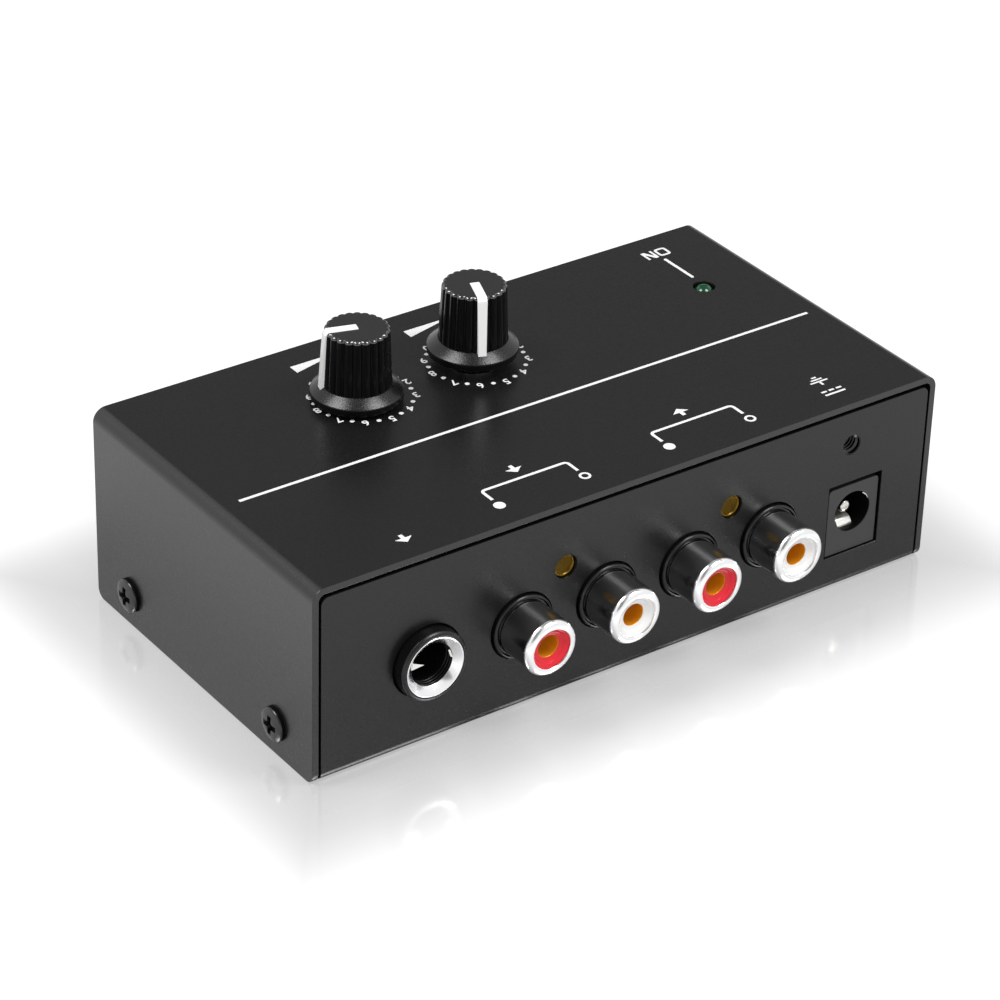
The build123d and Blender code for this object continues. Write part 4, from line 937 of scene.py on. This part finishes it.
@dataclass
class SupplyInlet:
    """DC inlet: moulded block with a round well, centre pin and leaf spring."""

    frame: Frame
    x: float = -38.5
    axis: float = 11.85
    face: float = 27.25
    tip: float = 25.95
    pin_radius: float = 1.0
    nose: float = 0.75
    pin_length: float = 13.0
    leaf_width: float = 2.6
    leaf_thickness: float = 0.3
    leaf_bend: float = 0.12
    bore_radius: float = 3.15
    edge: float = 0.12

    def build(self) -> None:
        """Builds the inlet's pieces."""
        # Faces in the well take the near-black, dull plastic: painted shade inside the inlet's bore.
        made(painted(self.frame.softened("dc_inlet_body", self.edge), 1, self.in_well), "dc_inlet_moulding",
             [INLET_PLASTIC, WELL_PAINTED_SHADE], ["dc_inlet_body"], scale=1.0)
        self.frame.finish({"dc_inlet_pin": INLET_PIN, "dc_inlet_spring": SPRING_METAL})
        made(placed(self.nose_cap(), Side.REAR, self.x, self.tip, self.axis), "dc_inlet_pin_tip",
             [INLET_PIN])
        made(shifted(self.leaf_bow(), self.x, z=self.axis), "dc_inlet_leaf_bow", [LEAF_METAL])
        made(shifted(self.upper_spring(), self.x, z=self.axis), "dc_inlet_upper_leaf",
             [SPRING_METAL])

    def in_well(self, at: Vector) -> bool:
        """Whether a place, in metres, lies in the round well behind the inlet's face."""
        radius = math.hypot(at.x / METRES - self.x, at.z / METRES - self.axis)
        return radius < self.bore_radius + 0.02 and at.y / METRES < self.face - 0.15

    def nose_cap(self) -> Shape:
        """Polished sleeve of the centre pin, its ring and its rounded end."""
        skin = self.pin_radius + 0.005
        waist, crown = skin - 0.14, skin - 0.06
        return spun([(0, -self.pin_length), (skin, -self.pin_length), (skin, -0.75, 0.06), (waist, -0.68),
                     (waist, -0.52), (crown, -0.45, 0.05), (crown, 0, self.nose), (0, 0)], 40, closed=False,
                    segments=8)

    def leaf_bow(self) -> Shape:
        """Bright bow of the leaf spring near the mouth, with its end turned down."""
        path = [(depth, rise - self.bore_radius) for depth, rise in
                ((19.4, 0.0), (21.4, 0.35), (23.4, 1.1), (24.6, 1.25), (25.3, 1.0), (25.9, 0.25))]
        outline = [(y, z, self.leaf_bend) for y, z in path]
        outline += [(y, z - self.leaf_thickness, self.leaf_bend) for y, z in reversed(path)]
        leaf = shifted(plate(outline, self.leaf_width), z=-self.leaf_width / 2)
        upright = Matrix(((0, 0, 1, 0), (1, 0, 0, 0), (0, 1, 0, 0), (0, 0, 0, 1)))
        return eased(moved(leaf, upright), 0.05)

    def upper_spring(self) -> Shape:
        """Thin edge of a second spring that bows into the bore from above."""
        start, end = Vector((-1.76, 0, 2.38)), Vector((-3.0, 0, 0.98))
        bow, thick, depth = 0.14, 0.15, 0.6
        along = (end - start).normalized()
        inwards = Vector((along.z, 0, -along.x))
        path = [start, (start + end) / 2 + inwards * bow, end]
        flat = [(at.x, at.z, 0.3 * bow) for at in path]
        flat += [(at.x + inwards.x * thick, at.z + inwards.z * thick, 0.3 * bow) for at in reversed(path)]
        edge = moved(plate(flat, depth), Matrix.Rotation(math.radians(90), 4, "X"))
        return shifted(edge, y=self.face - 0.13)


@dataclass
class GroundTerminal:
    """Threaded nut behind the panel that takes the ground screw."""

    x: float = -37.15
    z: float = 23.2
    back: float = 23.3
    length: float = 3.2
    across_flats: float = 6.0
    collar: float = 0.9
    collar_radius: float = 1.53
    bore: float = 1.15
    crest: float = 0.3
    pitch: float = 0.5
    steps: int = 24
    edge: float = 0.15

    def build(self) -> None:
        """Builds the nut with its helical thread."""
        made(placed(together([*self.body(), self.thread()]), Side.REAR, self.x, self.back, self.z),
             "ground_nut_threaded", [NUT_STEEL_PAINTED_SHADE], ["ground_nut"])

    def body(self) -> list[Shape]:
        """Six-sided blank with a bore as wide as the thread's root, and the collar before it."""
        root = self.bore + self.crest
        blank = eased(rod(self.across_flats / math.sqrt(3), 0, self.length, 6), self.edge)
        back, front = self.length - 0.2, self.length + self.collar
        collar = [(root, back), (self.collar_radius, back), (self.collar_radius, front), (root, front)]
        return [carved(blank, rod(root, -self.length - 0.5, self.length + 0.5, 48)), spun(collar, 48)]

    def thread(self) -> Shape:
        """Ridge that winds up the bore."""
        ridge = bmesh.new()
        root, half = self.bore + self.crest + 0.02, self.pitch / 2
        turns = (self.length + self.collar) / self.pitch - 1
        verts = [ridge.verts.new((radius, 0, level)) for radius, level in
                 ((root, 0.0), (self.bore, half * 0.8), (self.bore, half * 1.2), (root, self.pitch))]
        for pair in zip(verts, verts[1:] + verts[:1]):
            ridge.edges.new(pair)
        bmesh.ops.spin(ridge, geom=ridge.verts[:] + ridge.edges[:], cent=(0, 0, 0), axis=(0, 0, 1),
                       dvec=(0, 0, self.pitch / self.steps), angle=turns * math.tau,
                       steps=int(turns * self.steps), use_merge=False, use_duplicate=False)
        bmesh.ops.holes_fill(ridge, edges=[edge for edge in ridge.edges if edge.is_boundary], sides=6)
        bmesh.ops.recalc_face_normals(ridge, faces=ridge.faces)
        return ridge


# ---- Lamp and controls --------------------------------------------------------------------
@dataclass
class PowerLamp:
    """Green lamp below the cover: lens, metal core, leads and spacer."""

    frame: Frame
    x: float = -40.45
    base: float = 24.4
    radius: float = 1.5
    flange_radius: float = 1.9
    flange_height: float = 1.0
    length: float = 5.8

    def build(self) -> None:
        """Builds the lamp's pieces."""
        place = self.x, KNOB_LINE, self.base
        made(shifted(self.lens(), *place), "power_lamp_lens", [LAMP_GREEN], ["power_led"])
        made(shifted(self.core(), *place), "power_lamp_core", [LAMP_CORE])
        self.frame.finish({"led_leads": TINNED_LEAD, "led_spacer": SPACER_NYLON})

    def lens(self) -> Shape:
        """Cast lens with a flange and a domed tip."""
        return spun([(0, 0), (self.flange_radius, 0, 0.1), (self.flange_radius, self.flange_height, 0.1),
                     (self.radius, self.flange_height), (self.radius, self.length - self.radius),
                     (self.radius, self.length, self.radius * 0.98), (0, self.length)], 48, closed=False,
                    segments=10)

    def core(self) -> Shape:
        """Cup and post that hold the chip inside the lens."""
        cup = spun([(0, 0.6), (0.35, 0.6), (0.5, 3.0), (0.28, 2.7), (0, 2.7)], 20, closed=False)
        post = shifted(plate(rectangle(0.5, 0.4), 2.4), -0.95, z=0.6)
        return together([shifted(cup, 0.3), eased(post, 0.05)])


@dataclass
class ControlKnob:
    """Fluted grip on a conical skirt, its white pointer, and the potentiometer that it turns."""

    frame: Frame
    name: str
    body: Body
    x: float
    lift: float
    turn: float
    height: float = 10.5
    skirt_radius: float = 6.5
    rim_height: float = 1.0
    cone_top: float = 2.1
    neck_radius: float = 4.95
    foot_radius: float = 4.9
    top_radius: float = 4.55
    edge: float = 0.45
    flutes: int = 22
    flute_depth: float = 0.3
    steps_per_flute: int = 10
    hub_radius: float = 4.2
    bore_radius: float = 3.04
    bore_depth: float = 6.7
    skirt_wall: float = 0.8
    pointer_top_width: float = 1.4
    pointer_foot_width: float = 1.2
    pointer_proud: float = 0.25
    pointer_foot_proud: float = 0.45
    pointer_top_proud: float = 0.1
    pointer_inlay: float = 0.7
    pointer_foot: float = 1.7
    pointer_edge: float = 0.07

    def build(self) -> None:
        """Builds the knob and its pointer and dresses the potentiometer."""
        made(moved(self.moulding(), self.place()), f"{self.name}_knob_moulding",
             [KNOB_GLOSS, KNOB_TOP, KNOB_SKIRT, KNOB_RIM_PAINTED_SHADE, KNOB_EDGE_PAINTED_GLINT], [f"{self.name}_knob"], self.body)
        made(moved(self.pointer(), self.place()), f"{self.name}_knob_mark", [POINTER_WHITE],
             [f"{self.name}_knob_pointer"], self.body)
        # The pot frame takes the near-black steel: painted shade under the skirt.
        self.frame.finish({f"{self.name}_pot_body": POT_MOULDING, f"{self.name}_pot_frame": POT_STEEL_PAINTED_SHADE,
                           f"{self.name}_pot_shaft": SHAFT_METAL})

    def place(self) -> Matrix:
        """Where the knob stands and how far it is turned."""
        return (Matrix.Translation((self.x, KNOB_LINE, CASE_TOP + self.lift))
                @ Matrix.Rotation(math.radians(-self.turn), 4, "Z"))

    def moulding(self) -> Shape:
        """Turned blank whose grip is then pressed in between the flutes' ridges."""
        skirt, rim, wall = self.skirt_radius, self.rim_height, self.skirt_radius - self.skirt_wall
        shape = spun([(0, self.height), (self.top_radius - 0.9, self.height),
                      (self.top_radius, self.height, self.edge), (self.foot_radius, self.cone_top),
                      (self.neck_radius + 0.03, self.cone_top, 0.02), (skirt, rim, 0.15), (skirt, 0, 0.12),
                      (wall, 0, 0.05), (wall, rim / 2), (self.neck_radius, rim), (self.hub_radius, rim),
                      (self.hub_radius, 0), (self.bore_radius, 0), (self.bore_radius, self.bore_depth),
                      (0, self.bore_depth)], self.flutes * self.steps_per_flute, closed=False)
        pressed_from = self.top_radius - 0.8
        for vert in shape.verts:
            radius = from_axis(vert.co)
            if vert.co.z >= self.cone_top - 0.001 and pressed_from < radius <= self.foot_radius + 0.001:
                turn = math.atan2(vert.co.y, vert.co.x) / math.tau * self.flutes + 0.5
                across = 2 * (turn % 1.0) - 1
                share = 1 - self.flute_depth * across * across / radius
                vert.co.xy = vert.co.xy * share
        # The grip's top edge takes the metallic black: painted glints.
        painted(shape, 4, lambda at: at.z > self.height - self.edge and from_axis(at) > pressed_from)
        painted(shape, 1, lambda at: at.z > self.height - 0.02)
        painted(shape, 2, lambda at: at.z < self.cone_top + 0.001)
        # The skirt's vertical rim takes the darker, duller black: painted shade.
        return painted(shape, 3, lambda at: at.z < self.rim_height)

    def pointer(self) -> Shape:
        """Bar that runs from the middle of the top over the edge and down to the skirt."""
        foot, top = self.neck_radius + self.pointer_foot_proud, self.top_radius + self.pointer_proud
        high, shoulder = self.height + self.pointer_top_proud, self.height - self.edge
        under = high - self.pointer_inlay
        side = [(0, high), (top - self.edge, high), (top, shoulder), (foot, self.pointer_foot),
                (self.neck_radius - self.pointer_inlay, self.pointer_foot),
                (self.top_radius - self.pointer_inlay, under), (0, under)]
        shape = bmesh.new()
        half = self.pointer_top_width / 2
        shape.faces.new([shape.verts.new((-half, y, z)) for y, z in side])
        raised(shape, (2 * half, 0, 0))
        narrow = self.pointer_foot_width / self.pointer_top_width
        for vert in shape.verts:
            share = min((vert.co.z - self.pointer_foot) / (shoulder - self.pointer_foot), 1.0)
            vert.co.x *= narrow + (1 - narrow) * share
        return eased(shape, self.pointer_edge, angle=20.0)


@dataclass
class Electronics:
    """Circuit board and the parts on it, which keep their CAD shapes."""

    frame: Frame

    def build(self) -> None:
        """Dresses each node."""
        self.frame.finish({
            "circuit_board": BOARD_MASK,
            "pot_terminals": TINNED_LEAD,
            "amplifier_chips": CHIP_EPOXY,
            "signal_capacitors": CAPACITOR_SLEEVE,
            "supply_capacitors": CAPACITOR_SLEEVE,
            "film_capacitors": FILM_EPOXY,
            "resistors": RESISTOR_LACQUER,
            "supply_diode": CHIP_EPOXY,
            "regulator": CHIP_EPOXY,
        })


# ---- Studio -------------------------------------------------------------------------------
@dataclass
class Studio:
    """Floor, white surroundings, soft lamps and the camera."""

    floor_size: float = 6.0
    floor_level: float = -0.00003
    camera_place: Triple = (0.27324275848, 0.36896301917, 0.29066219689)
    camera_turn: Triple = (1.02568107, -0.02584888, 2.52499945)
    lens: float = 137.6798688
    sensor: float = 36.0
    near_clip: float = 0.01
    aim: Triple = (0.0, 0.0, 0.02)
    ambient: float = 0.3
    # Cards and lamps: place, side and level; a card's level is 1 where it looks white.
    cards: dict[str, Panel] = field(default_factory=lambda: {
        "backdrop_flag": ((-0.36, -0.49, 0.40), 0.62, 0.24),
        "camera_flag": ((0.55, 0.75, 0.58), 0.7, 0.25),
        "ceiling": ((0.0, 0.0, 1.0), 1.7, 0.38),
        "left_softbox_front": ((0.38, -0.14, 0.66), 0.34, 13.0),
        "right_softbox_front": ((-0.24, 0.32, 0.66), 0.34, 13.0)})
    lamps: dict[str, Panel] = field(default_factory=lambda: {
        "left_softbox": ((0.38, -0.14, 0.66), 0.2, 2.9),
        "right_softbox": ((-0.24, 0.32, 0.66), 0.2, 2.9),
        "camera_side_fill": ((0.75, 0.25, 0.3), 0.5, 1.4),
        "panel_fill": ((0.25, 0.85, 0.42), 0.4, 3.4)})
    floor_matte: float = 0.25
    floor_white: float = 0.86
    # Level of the floor's glow as mirrors see it, at the case's foot and away from it: painted shade near the
    # foot.
    mirrored_painted_shade: Span = (0.29, 0.98)
    polish: float = 0.11
    # The floor mirrors the case's lowest part: distance to the case in reaches, and the mirror's share.
    side_reach: float = 0.0234
    rear_reach: float = 0.03192
    mirror: tuple[Span, ...] = (
        (0.0, 0.49), (0.08, 0.47), (0.16, 0.44), (0.24, 0.41), (0.32, 0.37), (0.40, 0.31), (0.48, 0.24),
        (0.56, 0.17), (0.64, 0.12), (0.72, 0.09), (0.80, 0.05), (1.0, 0.0))

    def build(self) -> None:
        """Builds the studio round the object."""
        bpy.context.scene.view_settings.view_transform = "Standard"
        self.world()
        ground = Matrix.Translation((0, 0, self.floor_level))
        self.sheet("floor", self.floor_size, ground, self.floor_material())
        for name, (place, size, level) in self.cards.items():
            facing = Matrix.Translation(place) @ self.aimed(place, "Z").to_matrix().to_4x4()
            self.sheet(name, size, facing, self.card_material(name, level),
                       ("camera", "diffuse", "transmission", "volume_scatter", "shadow"))
        for name, (place, size, power) in self.lamps.items():
            self.lamp(name, place, size, power)
        self.camera()

    def aimed(self, place: Triple, axis: str) -> Quaternion:
        """Turn that points an axis of something at a place to the object."""
        return (Vector(self.aim) - Vector(place)).to_track_quat(axis, "Y")

    def seen(self, graph: Graph, mirrored: Socket | None = None) -> Socket:
        """Value that is 1 for camera, glossy and transmission rays and 0 for the rest.

        Args:
            graph: Graph that gets the nodes.
            mirrored: Level for glossy rays, where it isn't 1.

        Returns:
            The value's socket.
        """
        rays = graph.node("ShaderNodeLightPath").outputs
        glossy = rays["Is Glossy Ray"]
        if mirrored is not None:
            glossy = graph.maths("MULTIPLY", glossy, mirrored)
        total = graph.maths("MAXIMUM", rays["Is Camera Ray"], glossy)
        return graph.maths("MAXIMUM", total, rays["Is Transmission Ray"])

    def world(self) -> None:
        """White where it is seen or mirrored, and a plain level of light elsewhere."""
        world = bpy.data.worlds.new("surroundings")
        bpy.context.scene.world = world
        world.use_nodes = True
        graph = Graph(world.node_tree)
        background = world.node_tree.nodes["Background"].inputs
        graph.feed(background["Color"], WHITE)
        graph.feed(background["Strength"], graph.ranged(self.seen(graph), (0.0, 1.0), (self.ambient, 1.0)))

    def sheet(self, name: str, size: float, place: Matrix, material: bpy.types.Material,
              hidden_from: Sequence[str] = ()) -> None:
        """Puts a square sheet on the stage.

        Args:
            name: Name of the sheet.
            size: Its side.
            place: Where it lies.
            material: What it is made of.
            hidden_from: Kinds of rays that don't see it.
        """
        shape = bmesh.new()
        bmesh.ops.create_grid(shape, x_segments=1, y_segments=1, size=size / 2, matrix=place)
        sheet = held(shape, name)
        sheet.data.materials.append(material)
        for ray in hidden_from:
            setattr(sheet, f"visible_{ray}", False)

    def shaded(self, name: str, surface: Callable[[Graph], Socket]) -> bpy.types.Material:
        """Material with a surface of its own in place of the usual shader."""
        material = bpy.data.materials.new(name)
        material.use_nodes = True
        nodes = material.node_tree.nodes
        nodes.remove(nodes["Principled BSDF"])
        graph = Graph(material.node_tree)
        graph.feed(nodes["Material Output"].inputs["Surface"], surface(graph))
        return material

    def card_material(self, name: str, level: float) -> bpy.types.Material:
        """Plain glow of a card."""
        return self.shaded(name, lambda graph: graph.node(
            "ShaderNodeEmission", {"Color": WHITE, "Strength": level}).outputs["Emission"])

    def floor_material(self) -> bpy.types.Material:
        """Diffuse white lifted to the background's white, with a fading mirror near the case."""
        return self.shaded("pale_floor", self.floor_surface)

    def floor_surface(self, graph: Graph) -> Socket:
        """Surface of the floor's material."""
        away = self.distance(graph)
        # Mirrors see the floor's glow dimmed near the case's foot: painted shade.
        level = self.seen(graph, graph.ranged(away, (0.0, 1.0), self.mirrored_painted_shade))
        strength = graph.maths("MULTIPLY", level, self.floor_white)
        glow = graph.node("ShaderNodeEmission", {"Strength": strength})
        matte = graph.node("ShaderNodeBsdfDiffuse", {"Color": (*[self.floor_matte] * 3, 1.0)})
        white = graph.node("ShaderNodeAddShader", {0: matte.outputs["BSDF"], 1: glow.outputs["Emission"]})
        polish = graph.node("ShaderNodeBsdfGlossy", {"Color": WHITE, "Roughness": self.polish})
        mix = graph.node("ShaderNodeMixShader", {"Fac": self.mirror_share(graph, away),
                                                 1: white.outputs["Shader"], 2: polish.outputs["BSDF"]})
        return mix.outputs["Shader"]

    def distance(self, graph: Graph) -> Socket:
        """Distance of a point of the floor to the case, from 0 at its foot to 1 where the mirror ends."""
        split = graph.node("ShaderNodeSeparateXYZ", {"Vector": graph.place()}).outputs
        sides = (("X", CASE_HALF_WIDTH * METRES, self.side_reach),
                 ("Y", CASE_HALF_DEPTH * METRES, self.rear_reach))
        return graph.maths("MAXIMUM", *(
            graph.ranged(graph.maths("ABSOLUTE", split[axis]), (half, half + reach), (0.0, 1.0))
            for axis, half, reach in sides))

    def mirror_share(self, graph: Graph, away: Socket) -> Socket:
        """Share of the mirror at a point of the floor."""
        ramp = graph.node("ShaderNodeValToRGB", {"Fac": away})
        stops = ramp.color_ramp.elements
        for _ in self.mirror[2:]:
            stops.new(0.5)
        for stop, (position, share) in zip(stops, self.mirror):
            stop.position = position
            stop.color = (share, share, share, 1.0)
        return ramp.outputs["Color"]

    def lamp(self, name: str, place: Triple, size: float, power: float) -> None:
        """Square area lamp that looks at the object; mirrors show its card instead."""
        data = bpy.data.lights.new(name, "AREA")
        data.shape = "SQUARE"
        data.size = size
        data.energy = power
        lamp = bpy.data.objects.new(name, data)
        bpy.context.scene.collection.objects.link(lamp)
        lamp.location = place
        lamp.rotation_euler = self.aimed(place, "-Z").to_euler()
        lamp.visible_glossy = False

    def camera(self) -> None:
        """Camera above and behind the right end of the case."""
        data = bpy.data.cameras.new("camera")
        data.lens = self.lens
        data.sensor_width = self.sensor
        data.clip_start = self.near_clip
        camera = bpy.data.objects.new("camera", data)
        bpy.context.scene.collection.objects.link(camera)
        camera.location = self.camera_place
        camera.rotation_euler = self.camera_turn
        bpy.context.scene.camera = camera


def main() -> None:
    """Builds every sub-assembly in order, then the studio."""
    logging.basicConfig(level=logging.INFO, format="%(message)s")
    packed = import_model()
    frame = Frame(packed["nodes"])
    assemblies = [
        Case(frame),
        Legends(),
        PhoneJack(frame),
        SocketPair(frame, "output", 11.85),
        SocketPair(frame, "input", -16.15),
        SupplyInlet(frame),
        GroundTerminal(),
        PowerLamp(frame),
        ControlKnob(frame, "level", Body.LEVEL, 0.6, 1.8, 21.0),
        ControlKnob(frame, "volume", Body.VOLUME, 20.0, 0.6, 107.0),
        Electronics(frame),
        Studio(),
    ]
    for assembly in assemblies:
        assembly.build()
        LOG.info("built %s", type(assembly).__name__)


if __name__ == "__main__":
    main()
